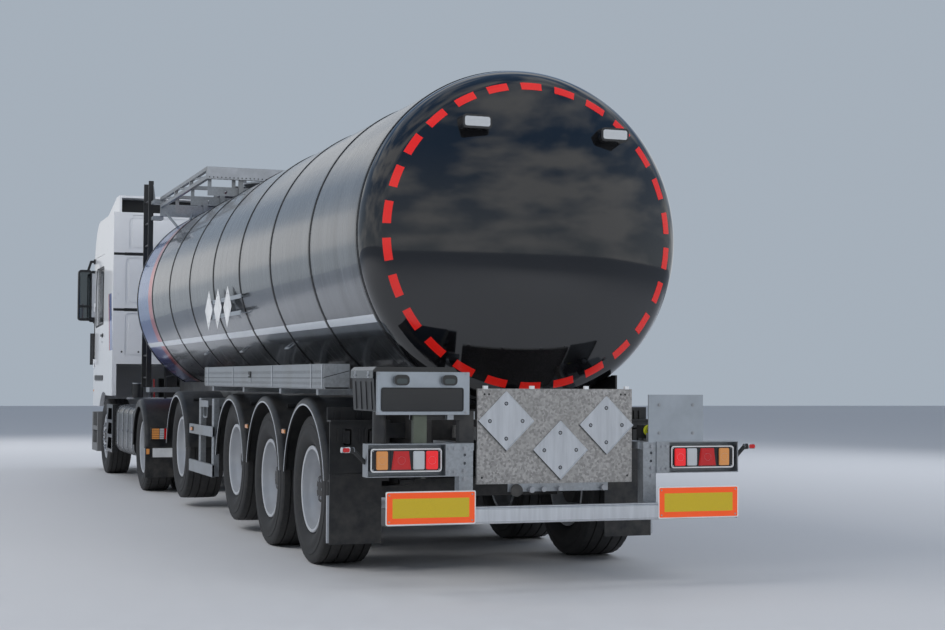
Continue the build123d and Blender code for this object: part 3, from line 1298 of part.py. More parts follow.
# Engine: block, head, sump, covers, radiator ahead of it and gearbox behind it
engine_block_half = 200
radiator_x = (at(engine_front + 40), at(engine_front + 130))
with BuildPart() as engine:
    engine_x = (at(engine_rear + 40), at(engine_front - 50))
    block(engine_x, (-engine_block_half, engine_block_half), (760, 1190))
    block((engine_x[0] + 40, engine_x[1] - 30), (-130, 130), (1180, 1330))
    rounded_plate((engine_x[0] + 60, engine_x[1] - 50), (-110, 110), (1300, 1380), 30)
    sump = ((-170, 770), (170, 770), (140, 630), (-140, 630))
    cross_plate(sump, (engine_x[0] + 60, engine_x[1] - 60))
    rod((at(gearbox_rear), 0, 780), (engine_x[0] + 5, 0, 780), 160)
    rod((engine_x[0] - 60, 0, 900), (engine_x[0] + 5, 0, 900), 250)
    rod((engine_x[1] - 5, 0, 900), (engine_x[1] + 40, 0, 900), 60)
    rod((engine_x[1] + 35, 0, 900), (engine_x[1] + 55, 0, 900), 290)
    # Exhaust manifold with its turbocharger on the right, filters on the left
    rod((engine_x[0] + 150, -engine_block_half - 30, 1120), (engine_x[1] - 150, -engine_block_half - 30, 1120), 45)
    rod((at(13400), -engine_block_half - 40, 980), (at(13540), -engine_block_half - 40, 980), 85)
    for station in (13300, 13460):
        rod((at(station), engine_block_half + 20, 830), (at(station), engine_block_half + 20, 1060), 50)
    for station in engine_mount_stations:
        block(around(station, 50), (-engine_half, engine_half), (mount_z[0] + 65, mount_z[1]))
    # Radiator on its lower feet
    block(radiator_x, (-330, 330), (660, 1290))
    rounded_plate((radiator_x[0] - 12, radiator_x[0] + 1), (-310, 310), (700, 1260), 40)
    for name, side in sides:
        stay_y = mirrored(side, engine_half - 20, engine_half)
        block((at(engine_mount_stations[1]), radiator_x[0] + 10), stay_y, (mount_z[0] + 65, mount_z[1]))
finish(engine, "engine")

# Fuel tank on the left with its straps, box and small tank on the right, step panel behind the front wheel
fuel_corner = 110
fuel_y = (570, 1190)
fuel_z = (350, 950)
fuel_bracket_z = (680, 760)
strap_half = 25
strap_rise = 6
# Tanks: side, rear station, front station, stations of the straps
fuel_table = (
    (1, 10420, 12150, (10570, 11000, 11430, 11860)),
    (-1, 10420, 11500, (10600, 11300)),
)
silencer_x = (11600, 12200)
step_panel_stations = (12180, 12780)
step_panel_y = (1150, 1225)
step_panel_z = (330, 950)
# Openings of the step panel: lowest and highest Z
step_openings = ((370, 520), (560, 710), (750, 900))
with BuildPart() as fuel_tanks:
    for side, rear, front, straps in fuel_table:
        middle = (side * sum(fuel_y) / 2, sum(fuel_z) / 2)
        width, height = fuel_y[1] - fuel_y[0], fuel_z[1] - fuel_z[0]
        with BuildSketch(Plane.YZ.offset(at(rear))) as outline:
            with Locations(middle):
                RectangleRounded(width, height, fuel_corner)
        extrude(outline.sketch, amount=front - rear)
        for station in straps:
            with BuildSketch(Plane.YZ.offset(at(station) - strap_half)) as band:
                with Locations(middle):
                    RectangleRounded(width + 2 * strap_rise, height + 2 * strap_rise, fuel_corner + strap_rise)
            extrude(band.sketch, amount=2 * strap_half)
            bracket_y = mirrored(side, rail_outer_y + seat_gap, fuel_y[0] + 30)
            block(around(station, 30), bracket_y, fuel_bracket_z)
        filler_x = at((rear + front) / 2)
        rod((filler_x, side * 800, fuel_z[1] - 5), (filler_x, side * 800, fuel_z[1] + 30), 55)
    # Silencer box with a ribbed outer face
    box_x = tuple(at(station) for station in silencer_x)
    block(box_x, (-1180, -500), (370, 950))
    for rib_z in range(430, 930, 80):
        block(box_x, (-1188, -1175), (rib_z, rib_z + 24))
    block((at(11700), at(11760)), (-520, -rail_outer_y - seat_gap), fuel_bracket_z)
    # Step panel: a plate with three openings, treads behind them and its bracket
    panel_x = tuple(at(station) for station in step_panel_stations)
    step_skin = 12
    block(panel_x, (step_panel_y[1] - step_skin, step_panel_y[1]), step_panel_z)
    block(panel_x, step_panel_y, (step_panel_z[1] - step_skin, step_panel_z[1]))
    for low_z, high_z in step_openings:
        opening = (
            (panel_x[0] + 60, low_z),
            (panel_x[1] - 90, low_z),
            (panel_x[1] - 190, high_z),
            (panel_x[0] + 60, high_z),
        )
        side_plate(opening, (step_panel_y[1] - 2 * step_skin, step_panel_y[1] + 1), mode=Mode.SUBTRACT)
        block((panel_x[0] + 40, panel_x[1] - 60), step_panel_y, (low_z - 25, low_z - 5))
    for panel_end in (panel_x[0], panel_x[1] - step_skin):
        block((panel_end, panel_end + step_skin), step_panel_y, step_panel_z)
    bracket_y = (rail_outer_y + seat_gap, step_panel_y[0] + 20)
    block((panel_x[0], panel_x[0] + 50), bracket_y, fuel_bracket_z)
finish(fuel_tanks, "fuel_tanks")

# Drive mudguards with their flaps, ribbed lamps and plate rails
drive_guard_y = (515, trailer_half_width + 35)
drive_guard_radius = tractor_wheel_radius + 47
drive_flap_z = 180
with BuildPart() as drive_mudguards:
    x = at(drive_axle_station)
    guard_x = x - drive_guard_radius
    for name, side in sides:
        add_arch(x, front_z, side, *drive_guard_y, drive_guard_radius, drive_guard_radius - 90, 0)
        flap_y = mirrored(side, *drive_guard_y)
        block((guard_x - 10, guard_x + 4), flap_y, (drive_flap_z, front_z + 20))
        # Arms from the rail to the crown
        for angle in guard_arm_angles:
            arm_x = x + drive_guard_radius * cos(radians(angle))
            arm_z = front_z + (drive_guard_radius - 30) * sin(radians(angle))
            rod((arm_x, side * (rail_outer_y + seat_gap), 840), (arm_x, side * 480, 840), 16)
            rod((arm_x, side * 480, 824), (arm_x, side * 480, arm_z + 16), 16)
            rod((arm_x, side * 464, arm_z), (arm_x, side * (drive_guard_y[0] + 4), arm_z), 16)
        lamp_x = (guard_x - 45, guard_x + 14)
        block(lamp_x, mirrored(side, 950, 1180), (600, 740))
        for rib in range(4):
            rib_y = mirrored(side, 975 + 50 * rib, 1005 + 50 * rib)
            block((guard_x - 52, guard_x - 44), rib_y, (612, 728))
        block((guard_x - 18, guard_x), mirrored(side, 640, 1165), (400, 512))
finish(drive_mudguards, "drive_mudguards")

# Cab: a side outline crossed with a plan outline, hollowed, with doors, windscreen and arches cut
cab_wall = 55
cab_rear_x = at(cab_rear_station)
cab_face_x = at(overall_length - 40)
panel_depth = 100
cab_bottom_z = rail_top_z
skirt_bottom_z = 1060
screen_low_z = 1990
forehead_radius = 615
forehead_x = cab_face_x - 800
forehead_z = cab_roof_z - forehead_radius
forehead_end = 13
cab_corner = 200
arch_radius = 600
glass_thickness = 12


def cab_side_outline(inset, bottom):
    """Side outline of the cab: flat rear and roof, rounded forehead, raked screen, upright face."""
    rear = cab_rear_x + inset
    face = cab_face_x - panel_depth - inset
    roof = cab_roof_z - inset
    low_angle = radians(forehead_end)
    half_angle = radians((90 + forehead_end) / 2)
    arc_radius = forehead_radius - inset
    arc_end = (forehead_x + arc_radius * cos(low_angle), forehead_z + arc_radius * sin(low_angle))
    arc_middle = (forehead_x + arc_radius * cos(half_angle), forehead_z + arc_radius * sin(half_angle))
    with BuildLine() as outline:
        Polyline(arc_end, (face, screen_low_z - 60), (face, bottom), (rear, bottom), (rear, roof), (forehead_x, roof))
        ThreePointArc((forehead_x, roof), arc_middle, arc_end)
    make_face(outline.line.edges())


def cab_plan_outline(inset, face):
    """Plan outline of the cab up to a face, with well rounded front corners."""
    half = cab_half_width - inset
    rear = cab_rear_x + inset
    straight = face - cab_corner
    slant = cab_corner * sin(radians(45))
    with BuildLine() as outline:
        Polyline((straight, half), (rear, half), (rear, -half), (straight, -half))
        for turn in (1, -1):
            middle = (straight + slant, turn * (half - cab_corner + slant))
            ThreePointArc((straight, turn * half), middle, (face, turn * (half - cab_corner)))
        Line((face, half - cab_corner), (face, cab_corner - half))
    make_face(outline.line.edges())


def cab_form(inset, bottom):
    """The cab's outer form, shrunk by an inset, from a bottom height up."""
    with BuildPart(mode=Mode.PRIVATE) as form:
        with BuildSketch(Plane.XZ) as side_view:
            cab_side_outline(inset, bottom)
        extrude(side_view.sketch, amount=cab_half_width - min(inset, 0), both=True)
        with BuildSketch() as plan_view:
            cab_plan_outline(inset, cab_face_x - inset)
        extrude(plan_view.sketch, amount=cab_roof_z + 100, mode=Mode.INTERSECT)
    return form.part


cab_outer = cab_form(0, cab_bottom_z)
cab_space = cab_form(cab_wall, cab_floor_z + 50)
cab_glass_space = cab_form(glass_thickness, cab_bottom_z)
cab_seat = cab_form(-seat_gap, cab_bottom_z)

with BuildPart(mode=Mode.PRIVATE) as cab_skin:
    add(cab_outer)
    add(cab_space, mode=Mode.SUBTRACT)
    # Open underside between the side skirts, and the wheel arches
    underside_half = cab_half_width - cab_wall
    underside_x = (cab_rear_x - 10, cab_face_x - panel_depth - cab_wall)
    block(underside_x, (-underside_half, underside_half), (cab_bottom_z - 10, cab_floor_z), mode=Mode.SUBTRACT)
    with Locations(Plane(origin=(at(front_axle_station), 0, front_z), z_dir=(0, 1, 0))):
        Cylinder(arch_radius, 2 * cab_half_width + 100, mode=Mode.SUBTRACT)
    rear_skirt_x = (cab_rear_x - 10, at(front_axle_station))
    skirt_y = (-cab_half_width - 10, cab_half_width + 10)
    block(rear_skirt_x, skirt_y, (cab_bottom_z - 10, skirt_bottom_z), mode=Mode.SUBTRACT)

door_length = 1010
door_front = overall_length - 370
door_rear = door_front - door_length
door_bottom_z = 1250
door_top_z = 3000
door_corner = 60
window_front_inset = 80
window_low_z = 2020
window_high_z = 2820
window_corner = 50
door_hinge_y = cab_half_width + 12
door_hinge_x = at(door_front) + move_gap
door_hinge_radius = 12
door_middle_x = (at(door_rear) + at(door_front)) / 2
window_half = door_length / 2 - window_front_inset
window_sill = 28


def add_door_prism(side, gap, inner_y, mode):
    """The outline of one side's door, shrunk by a gap, as a slab from a distance outwards."""
    with BuildSketch(Plane.XZ.offset(-side * inner_y)) as outline:
        with Locations((door_middle_x, (door_bottom_z + door_top_z) / 2)):
            RectangleRounded(door_length - 2 * gap, door_top_z - door_bottom_z - 2 * gap, door_corner)
    extrude(outline.sketch, amount=-side * (cab_half_width + 50 - inner_y), mode=mode)


def add_window(side, gap, inner_y, outer_y, mode):
    """The door window's outline, its sill falling to the front, as a slab between two distances."""
    left, right = door_middle_x - window_half + gap, door_middle_x + window_half - gap
    low, high = window_low_z + gap, window_high_z - gap
    with BuildSketch(Plane.XZ.offset(-side * inner_y)) as outline:
        with BuildLine():
            FilletPolyline(
                (left, low + window_sill),
                (left, high),
                (right - 90, high),
                (right, high - 200),
                (right, low),
                radius=window_corner,
                close=True,
            )
        make_face()
    extrude(outline.sketch, amount=-side * (outer_y - inner_y), mode=mode)


screen_half = cab_half_width - 150
screen_bottom = screen_low_z + 30
screen_top = 2950
screen_rear_x = cab_face_x - 460
hinge_heights = (1500, 2300)
barrel_length = 60
arm_eye_radius = 42
# Side outline of a pivot arm from its pin: lower edge, underside of the cab, front wall, upper edge
arm_outline = ((-31, -28), (-310, 280), (-310, 360), (60, 360), (60, 300), (-212, 300), (31, 28))
# Pressings in the cab's rear wall: lowest and highest Z, half width, corner, depth
rear_pressings = (
    (1560, 2150, 1040, 60, 8),
    (2250, 2890, 1040, 70, 8),
    (2980, 3420, 1000, 60, 8),
    (2176, 2218, 1060, 12, 14),
    (2915, 2957, 1060, 12, 14),
    (3436, 3456, 960, 8, 14),
)
pressing_step = 45
with BuildPart() as cab_shell:
    add(cab_skin.part)
    for name, side in sides:
        add_door_prism(side, 0, cab_half_width - cab_wall - move_gap, Mode.SUBTRACT)
    screen_y = (-screen_half, screen_half)
    block((screen_rear_x, cab_face_x), screen_y, (screen_bottom, screen_top), mode=Mode.SUBTRACT)
    # Stamped panels of the rear wall: each a shallow recess with a raised field inside
    for low_z, high_z, half, corner, depth in rear_pressings:
        recess_x = (cab_rear_x - 1, cab_rear_x + depth)
        rounded_plate(recess_x, (-half, half), (low_z, high_z), corner, mode=Mode.SUBTRACT)
        if high_z - low_z > 4 * pressing_step:
            field_y = (pressing_step - half, half - pressing_step)
            field_z = (low_z + pressing_step, high_z - pressing_step)
            rounded_plate((cab_rear_x + 2, cab_rear_x + depth + 1), field_y, field_z, corner - 20)
    # Pivot arms, leaning back from the pins so that they clear the bumper when the cab tilts
    pin_x = at(cab_pivot_station)
    for name, side in sides:
        arm_y = mirrored(side, arm_inner_y, arm_outer_y)
        with BuildSketch(Plane.XZ.offset(-arm_y[0])) as arm:
            with BuildLine():
                Polyline(*((pin_x + ahead, cab_pivot_z + above) for ahead, above in arm_outline), close=True)
            make_face()
            with Locations((pin_x, cab_pivot_z)):
                Circle(arm_eye_radius)
        extrude(arm.sketch, amount=arm_y[0] - arm_y[1])
        pin_ends = (side * (arm_inner_y - 5), side * (arm_outer_y + 15))
        pin_bore = cab_pin_radius + run_gap
        rod((pin_x, pin_ends[0], cab_pivot_z), (pin_x, pin_ends[1], cab_pivot_z), pin_bore, mode=Mode.SUBTRACT)
        for z in hinge_heights:
            barrel_z = (z - barrel_length, z - seat_gap)
            hinge = (door_hinge_x, side * door_hinge_y)
            rod((*hinge, barrel_z[0]), (*hinge, barrel_z[1]), door_hinge_radius)
            leaf_y = mirrored(side, cab_half_width - 5, door_hinge_y)
            block((door_hinge_x, door_hinge_x + 40), leaf_y, barrel_z)
finish(cab_shell, "cab_shell")

for name, side in sides:
    with BuildPart() as door:
        add(cab_skin.part)
        add_door_prism(side, move_gap, cab_half_width - cab_wall, Mode.INTERSECT)
        add_window(side, 0, cab_half_width - cab_wall - 10, cab_half_width + 10, Mode.SUBTRACT)
        # Shallow waist crease and lower panel
        crease_y = mirrored(side, cab_half_width - 4, cab_half_width + 10)
        crease_x = (at(door_rear) + 60, at(door_front) - 60)
        block(crease_x, crease_y, (1660, 1676), mode=Mode.SUBTRACT)
        for z in hinge_heights:
            hinge = (door_hinge_x, side * door_hinge_y)
            rod((*hinge, z), (*hinge, z + barrel_length), door_hinge_radius)
            leaf_z = (z, z + barrel_length)
            leaf_y = mirrored(side, cab_half_width - 5, door_hinge_y)
            block((door_hinge_x - 40, door_hinge_x - 2 * move_gap), leaf_y, leaf_z)
            plate_y = mirrored(side, cab_half_width + 2, door_hinge_y)
            block((door_hinge_x - 40, door_hinge_x), plate_y, leaf_z)
        # Grip in a recess
        handle_x = (at(door_rear) + 80, at(door_rear) + 260)
        recess_y = mirrored(side, cab_half_width - 14, cab_half_width + 10)
        block((handle_x[0] + 20, handle_x[1] - 20), recess_y, (1850, 1910), mode=Mode.SUBTRACT)
        block(handle_x, mirrored(side, cab_half_width - 3, cab_half_width + 16), (1866, 1894))
    finish(door, f"door_{name}")
    with BuildPart() as door_glass:
        add_window(side, seat_gap, cab_half_width - 35, cab_half_width - 27, Mode.ADD)
    finish(door_glass, f"door_glass_{name}")

with BuildPart() as windscreen:
    add(cab_outer)
    add(cab_glass_space, mode=Mode.SUBTRACT)
    screen_y = (seat_gap - screen_half, screen_half - seat_gap)
    screen_z = (screen_bottom + seat_gap, screen_top - seat_gap)
    block((screen_rear_x + seat_gap, cab_face_x), screen_y, screen_z, mode=Mode.INTERSECT)
finish(windscreen, "windscreen")

# Front trim: the panel with its grille slots on the cab's face and the sun visor over the screen
grille_half = cab_half_width - 440
grille_pitch = 130
grille_slot = 80
grille_low_z = cab_bottom_z + 100
grille_count = 5
visor_half = screen_half + 30
# Visor from its root round its lip and back: distance behind the face, height above the screen's top
visor_outline = ((-330, 250), (-190, 175), (-62, 65), (-50, 28), (-60, 24), (-76, 56), (-200, 155), (-330, 225))
with BuildPart() as cab_front:
    with BuildSketch(Plane.XY.offset(cab_bottom_z)):
        cab_plan_outline(0, cab_face_x)
    extrude(amount=screen_low_z - cab_bottom_z)
    panel_x = (cab_face_x - panel_depth + seat_gap, cab_face_x)
    panel_z = (cab_bottom_z, screen_low_z - 62)
    block(panel_x, (-cab_half_width, cab_half_width), panel_z, mode=Mode.INTERSECT)
    for slot in range(grille_count):
        slot_z = grille_low_z + slot * grille_pitch
        slot_x = (cab_face_x - 45, cab_face_x + 10)
        block(slot_x, (-grille_half, grille_half), (slot_z, slot_z + grille_slot), mode=Mode.SUBTRACT)
    # Upright bars inside the slots and a shallow band above them
    for bar_y in (-500, -250, 0, 250, 500):
        bar_x = (cab_face_x - 50, cab_face_x - 20)
        block(bar_x, (bar_y - 10, bar_y + 10), (grille_low_z - 5, grille_low_z + grille_count * grille_pitch - 40))
    band_x = (cab_face_x - 8, cab_face_x + 10)
    block(band_x, (-grille_half, grille_half), (panel_z[1] - 190, panel_z[1] - 60), mode=Mode.SUBTRACT)
    visor = [(cab_face_x + behind, screen_top + above) for behind, above in visor_outline]
    side_plate(visor, (-visor_half, visor_half))
    add(cab_seat, mode=Mode.SUBTRACT)
finish(cab_front, "cab_front")

# Bumper with step wells and an air intake, carried on the frame's front cross member
bumper_top_z = rail_top_z - 90
bumper_bottom_z = 270
step_rear = front_axle_station + arch_radius + 15
step_depth = 220
# Step pockets: lowest and highest Z
step_pockets = ((380, 560), (620, bumper_top_z))
lamp_y = (cab_half_width - 480, cab_half_width - 140)
lamp_z = (500, 680)
lamp_depth = 140
intake_z = (330, 440)
intake_half = 600
with BuildPart(mode=Mode.PRIVATE) as bumper_form:
    with BuildSketch(Plane.XY.offset(bumper_bottom_z)):
        cab_plan_outline(0, at(overall_length))
    extrude(amount=bumper_top_z - bumper_bottom_z)
    bumper_x = (at(step_rear), at(overall_length))
    bumper_y = (-cab_half_width, cab_half_width)
    block(bumper_x, bumper_y, (bumper_bottom_z, bumper_top_z), mode=Mode.INTERSECT)
    # The lower edge slants back and the upper edge is bevelled
    chin = ((bumper_x[1] + 1, 400), (bumper_x[1] + 1, bumper_bottom_z - 1), (bumper_x[1] - 46, bumper_bottom_z - 1))
    side_plate(chin, (-cab_half_width - 1, cab_half_width + 1), mode=Mode.SUBTRACT)
with BuildPart() as bumper:
    add(bumper_form.part)
    inner_half = cab_half_width - 340
    inner_x = (at(step_rear), at(overall_length - bumper_wall))
    block(inner_x, (-inner_half, inner_half), (bumper_bottom_z, bumper_top_z), mode=Mode.SUBTRACT)
    for name, side in sides:
        pocket_x = (at(step_rear + 60), at(overall_length - 300))
        pocket_y = mirrored(side, cab_half_width - step_depth, cab_half_width + 10)
        for low, high in step_pockets:
            block(pocket_x, pocket_y, (low, high), mode=Mode.SUBTRACT)
            # Raised treads on the step
            for tread in range(3):
                tread_y = mirrored(side, cab_half_width - 200 + 60 * tread, cab_half_width - 170 + 60 * tread)
                block((pocket_x[0] + 20, pocket_x[1] - 20), tread_y, (low - 2, low + 6))
        lamp_x = (at(overall_length - lamp_depth), at(overall_length))
        block(lamp_x, mirrored(side, *lamp_y), lamp_z, mode=Mode.SUBTRACT)
        # Round lamp recess below the headlamp
        fog = (side * (intake_half + 110), sum(intake_z) / 2)
        rod((at(overall_length - 50), *fog), (at(overall_length) + 10, *fog), 50, mode=Mode.SUBTRACT)
    block((at(overall_length - 40), at(overall_length)), (-intake_half, intake_half), intake_z, mode=Mode.SUBTRACT)
    for slat_z in (358, 388, 418):
        slat_x = (at(overall_length - 42), at(overall_length - 20))
        block(slat_x, (-intake_half - 2, intake_half + 2), (slat_z - 4, slat_z + 4))
finish(bumper, "bumper")

with BuildPart() as headlamps:
    add(bumper_form.part)
    lamp_x = (at(overall_length - lamp_depth) + seat_gap, at(overall_length))
    lamp_span = (seat_gap - lamp_y[1], lamp_y[1] - seat_gap)
    block(lamp_x, lamp_span, (lamp_z[0] + seat_gap, lamp_z[1] - seat_gap), mode=Mode.INTERSECT)
    gap_half = lamp_y[0] + seat_gap
    block((at(step_rear), at(overall_length)), (-gap_half, gap_half), (0, rail_top_z), mode=Mode.SUBTRACT)
finish(headlamps, "headlamps")

# Roof deflector: an open-backed wedge on the roof with turned-in side edges
deflector_half = cab_half_width - 70
deflector_height = 222
deflector_wall = 30
deflector_top_z = cab_roof_z + deflector_height
with BuildPart() as roof_deflector:
    wedge = (
        (cab_rear_x + 10, cab_roof_z),
        (cab_rear_x + 10, deflector_top_z),
        (cab_rear_x + 300, deflector_top_z),
        (forehead_x, cab_roof_z),
    )
    side_plate(wedge, (-deflector_half, deflector_half))
    wedge_space = (
        (cab_rear_x - 10, cab_roof_z),
        (cab_rear_x - 10, deflector_top_z - deflector_wall),
        (cab_rear_x + 290, deflector_top_z - deflector_wall),
        (forehead_x - 190, cab_roof_z),
    )
    space_half = deflector_half - deflector_wall
    side_plate(wedge_space, (-space_half, space_half), mode=Mode.SUBTRACT)
finish(roof_deflector, "roof_deflector")

# Mirrors ahead of the door hinges: rounded housings with two glass recesses on bent arms
mirror_x = (at(overall_length - 320), at(overall_length - 230))
mirror_y = (cab_half_width + 50, cab_half_width + 240)
mirror_z = (2110, 2840)
mirror_arm_radius = 18
# Glass recesses: lowest and highest Z
mirror_glasses = ((2145, 2300), (2330, 2805))
with BuildPart() as mirrors:
    for name, side in sides:
        housing_y = mirrored(side, *mirror_y)
        rounded_plate(mirror_x, housing_y, mirror_z, 45)
        rounded_plate((mirror_x[1] - 1, mirror_x[1] + 25), (housing_y[0] + 22, housing_y[1] - 22), (2140, 2810), 35)
        for low_z, high_z in mirror_glasses:
            glass_y = (housing_y[0] + 16, housing_y[1] - 16)
            rounded_plate((mirror_x[0] - 1, mirror_x[0] + 6), glass_y, (low_z, high_z), 25, mode=Mode.SUBTRACT)
        arm_x = (mirror_x[0] + mirror_x[1]) / 2
        for arm_z, pillar_z in ((mirror_z[0] + 60, mirror_z[0]), (mirror_z[1] - 40, mirror_z[1] + 120)):
            elbow = (arm_x, side * (cab_half_width + 60), pillar_z)
            root = (arm_x, side * (cab_half_width + mirror_arm_radius), pillar_z)
            rod(root, elbow, mirror_arm_radius)
            with Locations(elbow):
                Sphere(mirror_arm_radius)
            rod(elbow, (arm_x, side * (cab_half_width + 110), arm_z), mirror_arm_radius)
            foot_y = mirrored(side, cab_half_width, cab_half_width + mirror_arm_radius + 4)
            block((arm_x - 25, arm_x + 25), foot_y, (pillar_z - 35, pillar_z + 35))
finish(mirrors, "mirrors")

# Cab inside: dashboard with its hood, steering wheel and column, two seats and the bunk
inside_z = cab_floor_z + 50 + seat_gap
inner_face_x = cab_face_x - panel_depth - cab_wall
dash_x = (inner_face_x - 425, inner_face_x - 15)
dash_half = cab_half_width - 100
dash_z = (cab_floor_z + 220, cab_floor_z + 505)
driver_y = 560
seat_x = at(door_rear)
seat_z = cab_floor_z + 420
bunk_x = (cab_rear_x + 70, cab_rear_x + 730)
wheel_radius = 220
wheel_rim_radius = 16
with BuildPart() as cab_interior:
    dash = (
        (dash_x[0] + 60, dash_z[0]),
        (dash_x[1], dash_z[0]),
        (dash_x[1], dash_z[1]),
        (dash_x[0] + 40, dash_z[1]),
        (dash_x[0], dash_z[1] - 60),
    )
    side_plate(dash, (-dash_half, dash_half))
    block((dash_x[0] + 20, dash_x[1]), (-300, 300), (inside_z, dash_z[0] + 1))
    hood = (
        (dash_x[0] + 30, dash_z[1] - 2),
        (dash_x[0] + 200, dash_z[1] - 2),
        (dash_x[0] + 120, dash_z[1] + 60),
        (dash_x[0] + 20, dash_z[1] + 50),
    )
    side_plate(hood, (driver_y - 210, driver_y + 210))
    hub = (dash_x[0] - 150, driver_y, dash_z[1] + 105)
    rod(hub, (dash_x[0] + 70, driver_y, dash_z[1] - 85), 35)
    with Locations(Plane(origin=hub, z_dir=(-210, 0, 180))):
        Torus(wheel_radius, wheel_rim_radius)
        Box(2 * wheel_radius, 40, 20)
        Cylinder(70, 36)
    for name, side in sides:
        seat_y = mirrored(side, driver_y - 250, driver_y + 250)
        base_y = mirrored(side, driver_y - 170, driver_y + 170)
        block((seat_x, seat_x + 480), base_y, (inside_z, seat_z + 1))
        cushion = (
            (seat_x - 20, seat_z),
            (seat_x + 480, seat_z),
            (seat_x + 530, seat_z + 60),
            (seat_x + 510, seat_z + 130),
            (seat_x - 20, seat_z + 110),
        )
        side_plate(cushion, seat_y)
        back = (
            (seat_x - 60, seat_z + 20),
            (seat_x + 60, seat_z + 60),
            (seat_x + 20, seat_z + 640),
            (seat_x - 100, seat_z + 640),
        )
        side_plate(back, seat_y)
        head_y = mirrored(side, driver_y - 140, driver_y + 140)
        block((seat_x - 95, seat_x + 5), head_y, (seat_z + 630, seat_z + 840))
    block(bunk_x, (-dash_half - 30, dash_half + 30), (inside_z, cab_floor_z + 400))
    block((bunk_x[0] + 10, bunk_x[1] - 20), (-dash_half, dash_half), (cab_floor_z + 399, cab_floor_z + 530))
finish(cab_interior, "cab_interior")
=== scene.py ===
import math

import bmesh
import bpy
from mathutils import Matrix, Vector


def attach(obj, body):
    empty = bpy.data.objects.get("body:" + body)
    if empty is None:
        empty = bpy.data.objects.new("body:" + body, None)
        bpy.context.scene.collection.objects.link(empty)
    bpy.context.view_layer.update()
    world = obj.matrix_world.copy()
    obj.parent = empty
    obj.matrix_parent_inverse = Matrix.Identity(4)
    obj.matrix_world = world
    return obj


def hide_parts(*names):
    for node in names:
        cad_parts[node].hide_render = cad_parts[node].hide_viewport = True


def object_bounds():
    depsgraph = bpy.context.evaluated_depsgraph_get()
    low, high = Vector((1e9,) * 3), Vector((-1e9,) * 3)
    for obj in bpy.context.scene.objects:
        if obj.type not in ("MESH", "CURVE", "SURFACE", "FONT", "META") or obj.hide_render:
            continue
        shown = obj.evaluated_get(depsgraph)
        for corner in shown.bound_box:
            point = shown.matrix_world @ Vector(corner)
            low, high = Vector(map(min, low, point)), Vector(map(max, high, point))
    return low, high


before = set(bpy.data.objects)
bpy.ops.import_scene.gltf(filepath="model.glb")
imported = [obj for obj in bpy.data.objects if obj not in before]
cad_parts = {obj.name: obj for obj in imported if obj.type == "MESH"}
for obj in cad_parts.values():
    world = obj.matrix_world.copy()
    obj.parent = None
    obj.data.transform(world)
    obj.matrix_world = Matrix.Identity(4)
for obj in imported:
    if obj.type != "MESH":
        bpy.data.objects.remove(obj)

# Looks of the tanker truck, in metres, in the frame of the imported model.
# A station is a distance forward of the rear marking plates.

cad_low, cad_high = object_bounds()
half_length = (cad_high[0] - cad_low[0]) / 2
ground_z = cad_low[2]
sides = (("left", 1), ("right", -1))


def at(station):
    """X of a station."""
    return station - half_length


def between(low, high):
    """X span between two stations."""
    return at(low), at(high)


# Materials


class Nodes:
    """Short calls that add and link the nodes of a material or a world."""

    def __init__(self, owner, shader="Principled BSDF", coords="Object"):
        owner.use_nodes = True
        self.owner = owner
        self.tree = owner.node_tree
        self.shader = self.tree.nodes[shader]
        self.coords = self.add("ShaderNodeTexCoord").outputs[coords]

    def feed(self, socket, value):
        """Links an output to a socket, or sets the socket to a number or a colour."""
        if isinstance(value, bpy.types.NodeSocket):
            self.tree.links.new(value, socket)
        elif isinstance(value, tuple) and len(socket.default_value) == 4:
            socket.default_value = (*value, 1)
        else:
            socket.default_value = value

    def add(self, kind, inputs=None, **settings):
        """A node with its settings and what feeds its inputs."""
        node = self.tree.nodes.new(kind)
        for key, value in settings.items():
            setattr(node, key, value)
        for key, value in (inputs or {}).items():
            self.feed(node.inputs[key], value)
        return node

    def scaled(self, scale=(1, 1, 1)):
        """Coordinates times a scale."""
        return self.add("ShaderNodeMapping", {"Vector": self.coords, "Scale": scale}).outputs["Vector"]

    def noise(self, size, detail=3, roughness=0.5, scale=(1, 1, 1)):
        inputs = {"Vector": self.scaled(scale), "Scale": size, "Detail": detail, "Roughness": roughness}
        return self.add("ShaderNodeTexNoise", inputs).outputs["Fac"]

    def span(self, value, low, high, to_low=0.0, to_high=1.0, kind="LINEAR"):
        """Maps a value from one range to another, held at the ends."""
        inputs = {"Value": value, "From Min": low, "From Max": high, "To Min": to_low, "To Max": to_high}
        node = self.add("ShaderNodeMapRange", inputs, interpolation_type=kind, clamp=True)
        return node.outputs["Result"]

    def math(self, operation, first, second):
        node = self.add("ShaderNodeMath", operation=operation)
        self.feed(node.inputs[0], first)
        self.feed(node.inputs[1], second)
        return node.outputs["Value"]

    def mix(self, factor, first, second):
        """A colour between two, each a colour or an output."""
        inputs = {"Factor": factor, "A": first, "B": second}
        return self.add("ShaderNodeMix", inputs, data_type="RGBA").outputs["Result"]

    def axis(self, letter):
        """One coordinate."""
        return self.add("ShaderNodeSeparateXYZ", {"Vector": self.coords}).outputs[letter]

    def bump(self, height, strength, distance):
        inputs = {"Height": height, "Strength": strength, "Distance": distance}
        self.feed(self.shader.inputs["Normal"], self.add("ShaderNodeBump", inputs).outputs["Normal"])

    def set(self, **values):
        """Feeds shader inputs by name, with _ for a space."""
        for key, value in values.items():
            self.feed(self.shader.inputs[key.replace("_", " ")], value)


def paint(name):
    return Nodes(bpy.data.materials.new(name))


def shaded(color, factor):
    """A colour times a factor."""
    return tuple(min(1.0, c * factor) for c in color)


